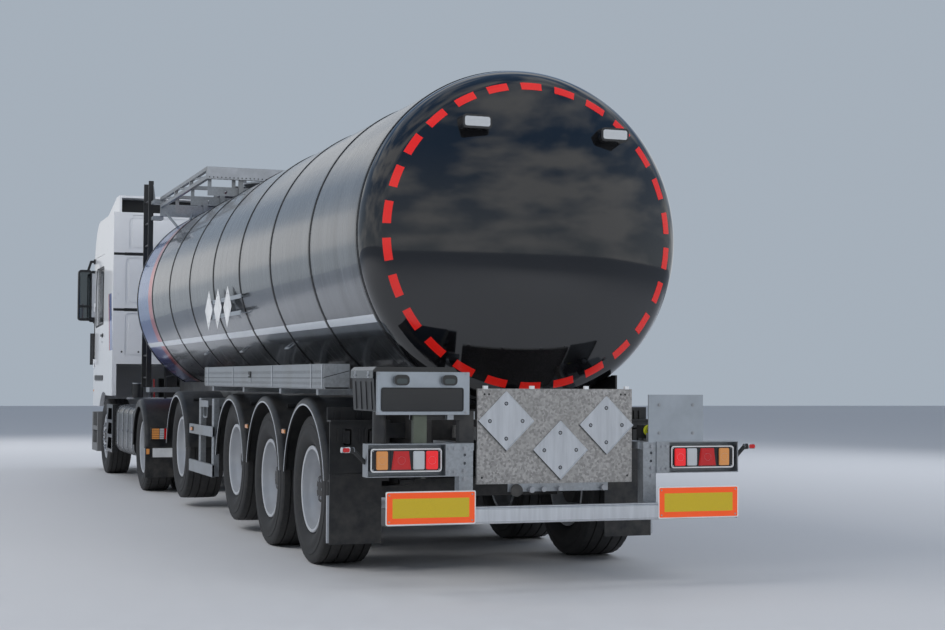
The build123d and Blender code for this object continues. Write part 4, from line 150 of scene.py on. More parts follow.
# Stations where the tank's paint changes
red_start = 9.61
blue_start = 9.90
paint_blend = 0.004
road_dust = (0.16, 0.145, 0.125)
dust_low_z = 0.3


def grimed(n, color, amount, high_z):
    """A base colour with road dust that thins out upwards."""
    height = n.span(n.axis("Z"), dust_low_z, high_z, amount, 0.0)
    cloud = n.span(n.noise(9, detail=6, roughness=0.65), 0.35, 0.75)
    return n.mix(n.math("MULTIPLY", height, cloud), color, road_dust)


def tank_side_paint():
    """Dark sheet with fine rings of rolling streaks, blue and red ahead of the last seam. The blue and
    red lighten towards the top: a painted sky reflection.
    """
    n = paint("tank_side")
    streaks = n.noise(1.0, detail=4, roughness=0.6, scale=(95, 1.2, 1.2))
    wide = n.noise(1.0, detail=2, scale=(9, 0.7, 0.7))
    blend = n.math("ADD", n.math("MULTIPLY", streaks, 0.6), n.math("MULTIPLY", wide, 0.4))
    dark = n.mix(n.span(blend, 0.35, 0.65), (0.10, 0.105, 0.112), (0.21, 0.22, 0.235))
    x = n.axis("X")
    # Painted sky reflection: the blue and red turn lighter from 1.3 m to 2.3 m up
    height = n.span(n.axis("Z"), 1.3, 2.3, kind="SMOOTHSTEP")
    blue = n.mix(height, (0.006, 0.016, 0.30), (0.10, 0.22, 0.50))
    red = n.mix(height, (0.62, 0.010, 0.03), (0.66, 0.09, 0.12))
    colour = dark
    for start, tone in ((red_start, red), (blue_start, blue)):
        colour = n.mix(n.span(x, at(start), at(start) + paint_blend), colour, tone)
    n.set(Base_Color=colour, Metallic=0.8, Coat_Weight=0.5, Coat_Roughness=0.06)
    n.set(Roughness=n.span(streaks, 0.3, 0.7, 0.17, 0.3))
    n.bump(blend, 0.25, 0.0008)
    return n.owner


def plain(name, color, roughness, metallic=0.0, coat=0.0, grain=0.0, spread=0.15, dirt=0.0, high_z=1.6):
    """A finish with slight variation of colour and roughness, fine grain and road dust."""
    n = paint(name)
    cloud = n.noise(5, detail=5, roughness=0.6)
    base = n.mix(n.span(cloud, 0.3, 0.7), shaded(color, 1 - spread), shaded(color, 1 + spread))
    if dirt:
        base = grimed(n, base, dirt, high_z)
    n.set(Base_Color=base, Metallic=metallic, Coat_Weight=coat, Coat_Roughness=0.06)
    n.set(Roughness=n.span(cloud, 0.3, 0.7, roughness * 0.85, min(1.0, roughness * 1.2)))
    if grain:
        n.bump(n.noise(60, detail=2), grain, 0.001)
    return n.owner


def galvanised(name, color, roughness, cell, contrast, metallic=0.75):
    """Zinc with its spangle of flat crystals."""
    n = paint(name)
    cells = n.add("ShaderNodeTexVoronoi", {"Vector": n.scaled(), "Scale": cell})
    shade = n.add("ShaderNodeSeparateColor", {"Color": cells.outputs["Color"]})
    tone = n.span(shade.outputs["Red"], 0, 1)
    base = n.mix(tone, shaded(color, 1 - contrast), shaded(color, 1 + contrast))
    base = n.mix(n.span(n.noise(3, detail=4), 0.45, 0.8, 0, 0.5), base, (0.3, 0.29, 0.27))
    n.set(Base_Color=base, Metallic=metallic, Roughness=n.span(tone, 0, 1, roughness, roughness + 0.14))
    n.bump(tone, 0.06, 0.0005)
    return n.owner


def reflex_with_painted_glow(name, color):
    """Reflective sheet: a fine honeycomb under a clear skin, with a faint painted glow."""
    n = paint(name)
    inputs = {"Vector": n.scaled(), "Scale": 220}
    cells = n.add("ShaderNodeTexVoronoi", inputs, feature="DISTANCE_TO_EDGE")
    base = n.mix(n.span(cells.outputs["Distance"], 0.0, 0.12), shaded(color, 0.8), color)
    n.set(Base_Color=base, Roughness=0.3, Coat_Weight=0.6, Coat_Roughness=0.1)
    # Painted glow: the sheet gives off a little light of its own colour
    n.set(Emission_Color=color, Emission_Strength=0.12)
    return n.owner


def lens(name, color, glow):
    """A lamp lens with fine vertical flutes."""
    n = paint(name)
    inputs = {"Vector": n.scaled(), "Scale": 45}
    flutes = n.add("ShaderNodeTexWave", inputs, bands_direction="Y").outputs["Fac"]
    base = n.mix(n.span(flutes, 0, 1), shaded(color, 0.65), color)
    n.set(Base_Color=base, Roughness=0.12, Coat_Weight=1.0, Coat_Roughness=0.03)
    n.set(Emission_Color=color, Emission_Strength=glow)
    n.bump(flutes, 0.4, 0.001)
    return n.owner


def rubber(name, color):
    """Tyre rubber with dust in its roughness."""
    n = paint(name)
    fine = n.noise(26, detail=6, roughness=0.7)
    base = n.mix(n.span(fine, 0.4, 0.8, 0, 0.55), color, (0.085, 0.08, 0.073))
    n.set(Base_Color=base, Roughness=n.span(fine, 0.3, 0.8, 0.62, 0.9))
    n.bump(n.noise(400), 0.25, 0.0006)
    return n.owner


def brushed(name, color, roughness, scale, dirt=0.0):
    """Metal with fine brushing along one direction."""
    n = paint(name)
    lines = n.noise(1.0, detail=4, roughness=0.6, scale=scale)
    base = n.mix(n.span(lines, 0.3, 0.7), shaded(color, 0.82), color)
    if dirt:
        base = grimed(n, base, dirt, 1.4)
    n.set(Base_Color=base, Metallic=0.9, Roughness=n.span(lines, 0.3, 0.7, roughness, roughness + 0.12))
    n.bump(lines, 0.12, 0.0005)
    return n.owner


def glass(name, color, alpha):
    """Clear sheet with a faint film."""
    n = paint(name)
    n.set(Base_Color=color, Roughness=n.span(n.noise(4), 0.3, 0.7, 0.02, 0.05), Coat_Weight=1.0)
    n.set(Alpha=alpha, Coat_Roughness=0.0, Specular_IOR_Level=0.8)
    return n.owner


def weave(name, color):
    """Seat and bunk cloth."""
    n = paint(name)
    waves = []
    for direction in "XZ":
        inputs = {"Vector": n.scaled(), "Scale": 120}
        waves.append(n.add("ShaderNodeTexWave", inputs, bands_direction=direction).outputs["Fac"])
    thread = n.math("MULTIPLY", *waves)
    n.set(Base_Color=n.mix(n.span(thread, 0, 1), color, shaded(color, 1.5)), Roughness=0.85)
    n.bump(thread, 0.4, 0.0008)
    return n.owner


M = {
    "tank_side": tank_side_paint(),
    "tank_head": plain("tank_head", (0.004, 0.004, 0.005), 0.05, coat=1.0, spread=0.3),
    "band": plain("tank_band", (0.012, 0.012, 0.013), 0.28, metallic=0.3, coat=0.5),
    "dash_red": reflex_with_painted_glow("dash_red", (0.78, 0.012, 0.006)),
    "stripe": reflex_with_painted_glow("side_stripe", (0.62, 0.66, 0.72)),
    "zinc": galvanised("zinc", (0.40, 0.42, 0.44), 0.4, 70, 0.12),
    "zinc_smooth": brushed("zinc_smooth", (0.52, 0.56, 0.60), 0.3, (5, 5, 5)),
    "zinc_sheet": galvanised("zinc_sheet", (0.40, 0.385, 0.37), 0.42, 75, 0.32, 0.5),
    "alloy_plate": brushed("alloy_plate", (0.72, 0.74, 0.77), 0.28, (30, 30, 3)),
    "alloy": brushed("alloy", (0.66, 0.67, 0.69), 0.25, (60, 4, 4), dirt=0.3),
    "chassis": plain("chassis_black", (0.018, 0.018, 0.019), 0.45, coat=0.2, dirt=0.5),
    "plastic": plain("guard_plastic", (0.014, 0.015, 0.017), 0.4, grain=0.15, dirt=0.35),
    "gloss_plastic": plain("gloss_plastic", (0.012, 0.012, 0.013), 0.15, coat=0.6),
    # Light grey trim; on the guards' edges it is a painted highlight
    "lip": plain("guard_lip", (0.42, 0.44, 0.47), 0.4, coat=0.3),
    "iron": plain("cast_iron", (0.04, 0.04, 0.042), 0.6, metallic=0.3, grain=0.4, dirt=0.6),
    "steel": plain("bare_steel", (0.45, 0.46, 0.48), 0.35, metallic=0.9),
    "tyre": rubber("tyre_rubber", (0.022, 0.022, 0.023)),
    "rim": plain("rim_silver", (0.62, 0.63, 0.65), 0.42, metallic=0.6, spread=0.05, dirt=0.08),
    "orange": reflex_with_painted_glow("marking_orange", (1.0, 0.095, 0.0)),
    "olive": reflex_with_painted_glow("marking_olive", (0.56, 0.40, 0.0)),
    "white_edge": plain("plate_edge", (0.75, 0.75, 0.74), 0.4),
    "lens_red": lens("lens_red", (0.50, 0.004, 0.004), 0.2),
    "lens_bright": lens("lens_bright", (0.72, 0.012, 0.015), 0.5),
    "lens_amber": lens("lens_amber", (0.80, 0.33, 0.09), 0.1),
    "lens_clear": lens("lens_clear", (0.62, 0.64, 0.66), 0.05),
    "cab": plain("cab_white", (0.78, 0.79, 0.81), 0.32, coat=0.5, spread=0.02, dirt=0.3, high_z=1.3),
    "trunk": plain("olive_steel", (0.10, 0.115, 0.085), 0.5, dirt=0.3),
    "cab_blue": plain("cab_blue", (0.02, 0.08, 0.36), 0.28, coat=0.9),
    "bumper": plain("bumper_grey", (0.16, 0.165, 0.17), 0.5, grain=0.2, dirt=0.4),
    "glass": glass("window_glass", (0.05, 0.06, 0.065), 0.45),
    "cover": glass("lamp_cover", (0.9, 0.92, 0.94), 0.16),
    "mirror": plain("mirror_glass", (0.10, 0.115, 0.12), 0.03, metallic=1.0, spread=0.02),
    "tank_metal": plain("fuel_tank_metal", (0.05, 0.052, 0.055), 0.28, metallic=0.7, dirt=0.15),
    "interior": plain("interior_grey", (0.09, 0.09, 0.095), 0.7, grain=0.4),
    "cloth": weave("seat_cloth", (0.05, 0.055, 0.07)),
    "yellow": plain("cap_yellow", (0.6, 0.62, 0.03), 0.4),
    "hose_red": plain("hose_red", (0.4, 0.02, 0.02), 0.5),
    "hose_black": plain("hose_black", (0.02, 0.02, 0.02), 0.5, grain=0.2),
    "white": plain("plain_white", (0.75, 0.76, 0.77), 0.45),
}

# Mesh building

box_faces = ((0, 1, 3, 2), (4, 6, 7, 5), (0, 4, 5, 1), (2, 3, 7, 6), (0, 2, 6, 4), (1, 5, 7, 3))


def circle(count, start=0.0):
    """Angles evenly round a full turn."""
    return [start + 2 * math.pi * k / count for k in range(count)]


def placed(axis, along, u, v):
    """A point from its distance along an axis and its two other coordinates."""
    return {"X": (along, u, v), "Y": (u, along, v), "Z": (u, v, along)}[axis]


def around(axis, along, radius, angle):
    """A point along an axis and at an angle about it. Angle 0 points to +X, or to +Y about X."""
    return Vector(placed(axis, along, radius * math.cos(angle), radius * math.sin(angle)))


def turned_ring(centre, turn, radius, count):
    """Points of a circle about the Z axis of a turn."""
    return [centre + turn @ around("Z", 0, radius, t) for t in circle(count)]


def rounded(u, v, radius, steps=5):
    """Outline of a rectangle with rounded corners between two spans."""
    near_u, far_u = u[0] + radius, u[1] - radius
    near_v, far_v = v[0] + radius, v[1] - radius
    outline = []
    for start, centre in enumerate(((far_u, far_v), (near_u, far_v), (near_u, near_v), (far_u, near_v))):
        for k in range(steps + 1):
            t = math.radians(90 * start + 90 * k / steps)
            outline.append((centre[0] + radius * math.cos(t), centre[1] + radius * math.sin(t)))
    return outline


def mirrored(side, low, high):
    """A span of distances from the middle, on one side."""
    return (low, high) if side > 0 else (-high, -low)


def inset(span, by):
    """A span made shorter at both ends."""
    return span[0] + by, span[1] - by


def about(middle, half):
    """A span about its middle."""
    return middle - half, middle + half


class Piece:
    """A mesh under construction. Faces take the current material and smoothing."""

    def __init__(self, *materials):
        self.bm = bmesh.new()
        self.materials = materials
        self.index = 0
        self.smooth = False

    def use(self, name):
        """Later faces take this material."""
        if name not in self.materials:
            self.materials = (*self.materials, name)
        self.index = self.materials.index(name)
        return self

    def add(self, points, faces):
        verts = [self.bm.verts.new(p) for p in points]
        for face in faces:
            made = self.bm.faces.new([verts[i] for i in face])
            made.material_index = self.index
            made.smooth = self.smooth
        return self

    def box(self, x, y, z):
        """A box between two X, two Y and two Z."""
        return self.add([(a, b, c) for a in x for b in y for c in z], box_faces)

    def boxes(self, side, rows):
        """Boxes on one side. A row is a finish and spans of stations, distances out and heights."""
        for finish, stations, distances, heights in rows:
            self.use(finish).box(between(*stations), mirrored(side, *distances), heights)

    def prism(self, outline, low, high, normal="Y"):
        """A flat outline of two coordinates, pushed from low to high along the third axis."""
        n = len(outline)
        points = [placed(normal, depth, u, v) for depth in (low, high) for u, v in outline]
        faces = [tuple(range(n)), tuple(range(2 * n - 1, n - 1, -1))]
        faces += [(i, (i + 1) % n, (i + 1) % n + n, i + n) for i in range(n)]
        return self.add(points, faces)

    def plate(self, x, y, z, radius):
        """A plate with rounded corners that lies across X."""
        return self.prism(rounded(y, z, radius), *x, "X")

    def collar(self, x, y, z, radius, width):
        """A raised border with rounded corners that lies across X."""
        outer = rounded(y, z, radius)
        inner = rounded(inset(y, width), inset(z, width), max(radius - width, 0.002))
        layers = ((x[1], outer), (x[0], outer), (x[0], inner), (x[1], inner))
        rings = [[(depth, a, b) for a, b in outline] for depth, outline in layers]
        return self.rings(rings, closed=True)

    def ring_on(self, x, y, z, radius, width):
        """A thin raised ring on a face that looks rearwards."""
        profile = ((x + 0.001, radius), (x, radius - width / 2), (x + 0.001, radius - width))
        return self.lathe(profile, (0, y, z), "X", 24)

    def rings(self, rings, closed=False, caps=True):
        """Skins a list of rings with the same number of points."""
        count = len(rings[0])
        points = [p for ring in rings for p in ring]
        faces = []
        for r in range(len(rings) if closed else len(rings) - 1):
            a = r * count
            b = (r + 1) % len(rings) * count
            faces += [(a + i, a + (i + 1) % count, b + (i + 1) % count, b + i) for i in range(count)]
        if caps and not closed:
            faces.append(tuple(range(count - 1, -1, -1)))
            faces.append(tuple(range(len(points) - count, len(points))))
        return self.add(points, faces)

    def skin(self, rings, smooth=True, **ends):
        """Rings with a smoothing of their own."""
        was, self.smooth = self.smooth, smooth
        self.rings(rings, **ends)
        self.smooth = was
        return self

    def rod(self, start, end, radius, count=16, end_radius=None):
        """A round bar, or a cone with another end radius."""
        start, end = Vector(start), Vector(end)
        turn = (end - start).to_track_quat("Z", "Y").to_matrix()
        last = turned_ring(end, turn, end_radius or radius, count)
        return self.skin([turned_ring(start, turn, radius, count), last])

    def stud(self, x, y, z, radius, count=16, end_radius=None):
        """A rod along X."""
        return self.rod((x[0], y, z), (x[1], y, z), radius, count, end_radius)

    def lathe(self, profile, centre, axis="Y", count=64, reach=None, closed=True):
        """Turns (along, radius) points about an axis through a centre. reach(i, k) scales a radius."""
        centre = Vector(centre)
        rings = []
        for i, (along, radius) in enumerate(profile):
            ring = []
            for k, t in enumerate(circle(count)):
                r = radius * (reach(i, k) if reach else 1)
                ring.append(centre + around(axis, along, r, t))
            rings.append(ring)
        return self.skin(rings, closed=closed, caps=False)

    def bolt(self, centre, axis, radius, height):
        """A six-sided bolt head with its washer, standing out along an axis."""
        centre, axis = Vector(centre), Vector(axis)
        self.rod(centre, centre + axis * height * 0.25, radius * 1.45, 12)
        turn = axis.to_track_quat("Z", "Y").to_matrix()
        head = [turned_ring(centre + axis * depth, turn, radius, 6) for depth in (height * 0.2, height)]
        return self.skin(head, False)

    def done(self, name, body, bevel=0.0, segments=1, sharp=35, replaces=(), slot=None):
        """Finishes the piece as an object that rides on a body."""
        bmesh.ops.recalc_face_normals(self.bm, faces=self.bm.faces)
        mesh = bpy.data.meshes.new(name)
        self.bm.to_mesh(mesh)
        self.bm.free()
        for material in self.materials:
            mesh.materials.append(M[material])
        mesh.set_sharp_from_angle(angle=math.radians(sharp))
        piece = bpy.data.objects.new(name, mesh)
        bpy.context.scene.collection.objects.link(piece)
        if bevel:
            edge = piece.modifiers.new("edges", "BEVEL")
            edge.width = bevel
            edge.segments = segments
            edge.limit_method = "ANGLE"
            edge.angle_limit = math.radians(40)
            edge.harden_normals = True
        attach(piece, body)
        if replaces:
            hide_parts(*replaces)
        return piece


# CAD nodes that stay, with their finish

for finish, node_names in {
    "zinc": ("side_guards", "hose_box", "hose_box_lid", "rear_frame", "top_platform", "manhole_lid"),
    "zinc_sheet": ("sign_panel",),
    "chassis": ("trailer_frame", "trailer_running_gear", "tractor_frame", "discharge_pipe"),
    "plastic": ("tool_box", "trailer_mudguards", "drive_mudguards", "mirrors"),
    "iron": ("fifth_wheel", "tractor_axles", "engine", "knuckle_left", "knuckle_right"),
    "tank_metal": ("fuel_tanks",),
    "cab": ("cab_shell", "cab_front", "roof_deflector", "door_left", "door_right"),
    "bumper": ("bumper",),
    "gloss_plastic": ("tool_box_lid",),
    "glass": ("windscreen", "door_glass_left", "door_glass_right"),
}.items():
    for node_name in node_names:
        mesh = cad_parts[node_name].data
        mesh.materials.clear()
        mesh.materials.append(M[finish])

# Tank: barrel, dished heads, seams, dashes and the side stripe

tank_axis_z = 2.241
tank_radius = 1.122
tank_centre = (0, 0, tank_axis_z)
tank_steps = 192
barrel_rear = 0.862
barrel_front = 10.8
barrel_steps = 60
crown_radius = 2 * tank_radius
knuckle_radius = 0.2 * tank_radius
knuckle_centre = tank_radius - knuckle_radius
head_reach = math.sqrt((crown_radius - knuckle_radius) ** 2 - knuckle_centre**2)
head_angle = math.atan2(knuckle_centre, head_reach)


def head_profile(edge_x, outward, crown_steps=26, knuckle_steps=14):
    """(x, radius) points of a dished head from the barrel's end to its pole."""
    centre_x = edge_x - outward * head_reach
    profile = []
    for k in range(knuckle_steps + 1):
        t = math.pi / 2 - (math.pi / 2 - head_angle) * k / knuckle_steps
        x = edge_x + outward * knuckle_radius * math.cos(t)
        profile.append((x, knuckle_centre + knuckle_radius * math.sin(t)))
    for k in range(1, crown_steps + 1):
        t = head_angle * (1 - k / crown_steps)
        x = centre_x + outward * crown_radius * math.cos(t)
        profile.append((x, max(crown_radius * math.sin(t), 0.0005)))
    return profile


shell = Piece("tank_side")
barrel = []
for k in range(barrel_steps + 1):
    barrel.append((at(barrel_rear + (barrel_front - barrel_rear) * k / barrel_steps), tank_radius))
for finish, profile in (
    ("tank_side", barrel),
    ("tank_head", head_profile(at(barrel_rear), -1)),
    ("tank_side", head_profile(at(barrel_front), 1)),
):
    shell.use(finish).lathe(profile, tank_centre, "X", tank_steps, closed=False)
bmesh.ops.remove_doubles(shell.bm, verts=shell.bm.verts, dist=0.0001)
shell.done("tank_shell", "trailer", replaces=("tank",), slot="tank_black", sharp=60)

# Each joint is a raised ring between two low bands: shift along the tank, half width and height
seam_stations = (0.886, 2.150, 3.430, 4.640, 5.840, 7.110, 8.360, 9.590, 10.777)
seam_rings = ((0, 0.020, 0.006), (-0.026, 0.004, 0.003), (0.026, 0.004, 0.003))
seams = Piece("band")
for station in seam_stations:
    for shift, width, height in seam_rings:
        x = at(station) + shift
        profile = (
            (x - width, tank_radius - 0.002),
            (x - width * 0.7, tank_radius + height),
            (x + width * 0.7, tank_radius + height),
            (x + width, tank_radius - 0.002),
        )
        seams.lathe(profile, tank_centre, "X", 160)
seams.done("tank_seams", "trailer", slot="tank_black")


def on_head(angle, radius, lift):
    """A point on the rear head at a polar place, lifted off its surface."""
    if radius <= knuckle_centre * crown_radius / (crown_radius - knuckle_radius):
        t = math.asin(radius / crown_radius)
        reach = crown_radius + lift
        x, r = at(barrel_rear) + head_reach - reach * math.cos(t), reach * math.sin(t)
    else:
        t = math.acos(min(1, (radius - knuckle_centre) / knuckle_radius))
        reach = knuckle_radius + lift
        x, r = at(barrel_rear) - reach * math.sin(t), knuckle_centre + reach * math.cos(t)
    return Vector((x, r * math.cos(angle), tank_axis_z + r * math.sin(angle)))


def band_section(lift, foot, steps=4):
    """(part of the width, lift) pairs, out along a thin band's face and back along its foot."""
    parts = [k / steps for k in range(steps + 1)]
    return [(part, lift) for part in parts] + [(part, foot) for part in reversed(parts)]


dash_count = 26
dash_radius = 0.987
dash_length = 0.145
dash_width = 0.05
dash_steps = 8
dash_section = band_section(0.0015, 0)
half_turn = dash_length / 2 / dash_radius
inner = dash_radius - dash_width / 2
dashes = Piece("dash_red")
dashes.smooth = True
for middle in circle(dash_count, math.radians(90)):
    rings = []
    for i in range(dash_steps + 1):
        angle = middle - half_turn + 2 * half_turn * i / dash_steps
        rings.append([on_head(angle, inner + dash_width * part, lift) for part, lift in dash_section])
    dashes.rings(rings)
dashes.done("head_dashes", "trailer", slot="tank_black", sharp=60)

stripe_low = math.asin((1.667 - tank_axis_z) / tank_radius)
stripe_high = math.asin((1.717 - tank_axis_z) / tank_radius)
stripe_section = band_section(0.0012, -0.001)
stripe_gap = 0.032
stripe = Piece("stripe")
stripe.smooth = True
for low_station, high_station in zip(seam_stations[:-1], seam_stations[1:]):
    for name, side in sides:
        rings = []
        for x in inset(between(low_station, high_station), stripe_gap):
            ring = []
            for part, lift in stripe_section:
                t = stripe_low + (stripe_high - stripe_low) * part
                r = tank_radius + lift
                ring.append((x, side * r * math.cos(t), tank_axis_z + r * math.sin(t)))
            rings.append(ring)
        stripe.rings(rings)
stripe.done("side_stripe", "trailer", slot="tank_black", sharp=60)

# Wheels: an outline is (distance from the wheel's middle, radius)

rim_radius = 0.286
flange_radius = 0.305
lug_depth = 0.009
shoulder_depth = 0.003
groove_depth = 0.014

# Share of a tyre's height above its seat, and how far inside the widest place its side stands
tyre_side = (
    (0.36, 0.0045), (0.43, 0.001), (0.47, 0.0), (0.56, 0.002),
    (0.66, 0.006), (0.68, 0.004), (0.72, 0.005), (0.74, 0.010),
)
# Depth below the tread, and how far inside the widest place the shoulder stands
tyre_shoulder = ((0.040, 0.012), (0.030, 0.013), (0.012, 0.019), (0.0045, 0.027))


def make_tyre(piece, spot, radius, width, bead, grooves, blocks):
    """A tyre with grooves round it and, where blocks is set, cross cuts in the outer ribs."""
    half = width / 2
    seat = rim_radius + 0.0003
    height = radius - seat
    side = [
        (bead - 0.0005, seat),
        (bead - 0.0005, flange_radius + 0.004),
        (bead + 0.010, flange_radius + 0.012),
        (bead + (half - bead) * 0.62, seat + 0.22 * height),
    ]
    side += [(half - inside, seat + share * height) for share, inside in tyre_side]
    side += [(half - inside, radius - depth) for depth, inside in tyre_shoulder]
    tread = []
    for centre, half_groove in grooves:
        top = radius - shoulder_depth * (centre / (half - 0.032)) ** 2
        foot = radius - groove_depth
        for shift, r in ((1, top), (0.6, foot), (-0.6, foot), (-1, top)):
            tread.append((centre + half_groove * shift, r))
    profile = side + tread + [(-a, r) for a, r in reversed(side)]
    outer = {i for i, (a, r) in enumerate(profile) if abs(a) > half - 0.03}
    shoulder = {i for i in outer if profile[i][1] > radius - 0.032}
    cut = {i for i in outer if radius - 0.042 < profile[i][1] < radius - 0.0001}
    cut |= {len(side) + i for i in range(len(tread)) if i % 4 in (0, 3)}

    def reach(i, k):
        if blocks and i in cut and k % blocks == 0:
            return 1 - lug_depth / radius
        if i in shoulder and k % 3 == 0:
            return 1 - shoulder_depth / radius
        return 1

    piece.lathe(profile, spot, "Y", 132 if blocks else 120, reach=reach)


nuts = 10
nut_pitch = 0.1675
stub_radius = 0.055
hub_face_radius = 0.178
disc_radius = rim_radius - 0.028
disc_thickness = 0.012
hand_hole_radius = 0.021
hand_hole_pitch = 0.222
hand_hole_steps = 24


def holed_disc(piece, centre, outward, depth_at):
    """A wheel disc as sectors, each with a round hole, as a front and a back skin with joined edges."""
    step = 2 * math.pi / nuts
    count = hand_hole_steps
    after = [(k + 1) % count for k in range(count)]
    middle_radius = (hub_face_radius + disc_radius) / 2
    half_band = (disc_radius - hub_face_radius) / 2

    def on_disc(place, sink):
        return Vector(centre) + around("Y", outward * (depth_at(place[0]) - sink), *place)

    piece.smooth = True
    for back in (0, 1):
        for s in range(nuts):
            cell = []
            hole = []
            for t in circle(count):
                reach = max(abs(math.cos(t)), abs(math.sin(t)))
                u, v = math.cos(t) / reach, math.sin(t) / reach
                cell.append((middle_radius + u * half_band, s * step + v * step / 2))
                turn = hand_hole_radius * math.sin(t) / hand_hole_pitch
                hole.append((hand_hole_pitch + hand_hole_radius * math.cos(t), s * step + turn))
            points = [on_disc(place, back * disc_thickness) for place in cell + hole]
            piece.add(points, [(k, after[k], count + after[k], count + k) for k in range(count)])
            if back:
                wall = [on_disc(place, sink) for place in hole for sink in (0, disc_thickness)]
                faces = [(2 * k, 2 * after[k], 2 * after[k] + 1, 2 * k + 1) for k in range(count)]
                piece.add(wall, faces)
    piece.smooth = False


# Rim's outline: end of the bead seat, shift from it and rise above the rim's radius, along the
# outer skin from the inner flange to the outer one and then back inside it
flange = flange_radius - rim_radius
rim_outline = (
    (-1, -0.012, flange), (-1, -0.004, flange), (-1, 0, flange - 0.006), (-1, 0, 0),
    (-1, 0.035, -0.001), (-1, 0.055, -0.018), (1, -0.085, -0.018), (1, -0.05, -0.001),
    (1, 0, 0), (1, 0, flange - 0.006), (1, 0.004, flange), (1, 0.012, flange),
    (1, 0.0165, flange - 0.006), (1, 0.013, -0.006), (1, -0.02, -0.012), (1, -0.05, -0.014),
    (1, -0.085, -0.030), (-1, 0.055, -0.030), (-1, 0.03, -0.013), (-1, -0.013, -0.006),
    (-1, -0.0165, flange - 0.006),
)
# Outlines of the disc's face and the hub: distance from the disc or the hub's cap, radius
disc_face = ((0.013, 0.150), (0.013, 0.1405), (-0.012, 0.1405), (-0.012, hub_face_radius))
hub_body = ((-0.14, stub_radius + 0.003), (-0.14, 0.135), (-0.013, 0.139), (0.012, 0.139), (0.014, 0.120))
hub_cap = ((-0.03, 0.098), (-0.004, 0.094), (0, 0.088), (0, 0.0005))
hub_bore = ((-0.02, 0.0005), (-0.02, stub_radius + 0.003))


def make_rim(piece, spot, outward, bead, disc, hub_reach):
    """A disc wheel: drop-centre barrel, dished disc with hand holes, nuts and a hub with its cap."""
    centre = Vector(spot)
    barrel = [(end * bead + shift, rim_radius + rise) for end, shift, rise in rim_outline]
    dish_low = hub_face_radius + 0.002
    dish_high = rim_radius - 0.03

    def depth_at(radial):
        t = max(0.0, min(1.0, (radial - dish_low) / (dish_high - dish_low)))
        return disc + 0.012 + 0.055 * math.sin(t * math.pi) * (1 - 0.35 * t) - 0.02 * t

    face = [(disc, hub_face_radius), (depth_at(hub_face_radius), hub_face_radius)]
    face += [(disc + shift, r) for shift, r in disc_face]
    hub = [(disc + shift, r) for shift, r in hub_body]
    hub += [(hub_reach + shift, r) for shift, r in hub_cap]
    hub += [(disc + shift, r) for shift, r in hub_bore]
    for finish, outline, count in (("rim", barrel, 96), ("rim", face, 64), ("iron", hub, 64)):
        piece.use(finish).lathe([(outward * a, r) for a, r in outline], centre, "Y", count)
        if outline is barrel:
            holed_disc(piece, centre, outward, depth_at)
    piece.use("steel")
    axis = Vector((0, outward, 0))
    for t in circle(nuts, math.pi / nuts):
        spot = centre + around("Y", outward * (disc + 0.013), nut_pitch, t)
        piece.rod(spot, spot + axis * 0.006, 0.024, 16)
        piece.bolt(spot + axis * 0.004, axis, 0.0185, 0.03)
        piece.rod(spot + axis * 0.03, spot + axis * 0.048, 0.011, 10)
    for t in circle(6):
        piece.bolt(centre + around("Y", outward * hub_reach, 0.07, t), axis, 0.009, 0.006)


def wheel(kind, many, label, places, tyre_size, disc, hub_reach):
    """Tyres and rims of one wheel body. A place is a spot and the side that its disc looks to."""
    tyre = Piece("tyre")
    rim = Piece("rim", "iron", "steel")
    for spot, outward in places:
        make_tyre(tyre, spot, *tyre_size)
        make_rim(rim, spot, outward, tyre_size[2], disc, hub_reach)
    for piece, part, slot in ((tyre, "tyre", "tyre_black"), (rim, "rim", "rim_silver")):
        old_name = f"{kind}_{part}{many}_{label}"
        name = f"{kind}_{part}{many}_look_{label}"
        piece.done(name, f"{kind}_wheel{many}_{label}", replaces=(old_name,), slot=slot)


# Tyre sizes: radius, width, half distance between the beads, grooves by place and half width,
# spacing of the cross cuts
trailer_grooves = ((0.118, 0.006), (0.042, 0.0065), (-0.042, 0.0065), (-0.118, 0.006))
front_grooves = ((0.092, 0.005), (0.032, 0.006), (-0.032, 0.006), (-0.092, 0.005))
drive_grooves = ((0.085, 0.007), (0.0, 0.006), (-0.085, 0.007))
trailer_tyre = (0.520, 0.385, 0.15, trailer_grooves, 0)
front_tyre = (0.505, 0.315, 0.115, front_grooves, 0)
drive_tyre = (0.505, 0.315, 0.115, drive_grooves, 3)
# Number, station and the wheel's height above the ground
trailer_axles = ((1, 7.37, 0.6), (2, 4.61, 0.6), (3, 3.28, 0.52), (4, 1.95, 0.52))
for number, station, height in trailer_axles:
    for name, side in sides:
        spot = (at(station), side * 0.97, ground_z + height)
        wheel("trailer", "", f"{number}_{name}", [(spot, side)], trailer_tyre, 0.0, 0.105)
for name, side in sides:
    spot = (at(13.36), side * 1.018, ground_z + front_tyre[0])
    wheel("front", "", name, [(spot, side)], front_tyre, 0.100, 0.150)
    outer, inner = ((at(9.76), side * y, ground_z + drive_tyre[0]) for y in (1.0425, 0.6895))
    wheel("drive", "s", name, [(outer, side), (inner, -side)], drive_tyre, -0.165, 0.04)

# Marking plates: white edge, orange border, olive centre and a rivet in each corner

plate_y = (0.609, 1.174)
plate_z = (0.429, 0.629)
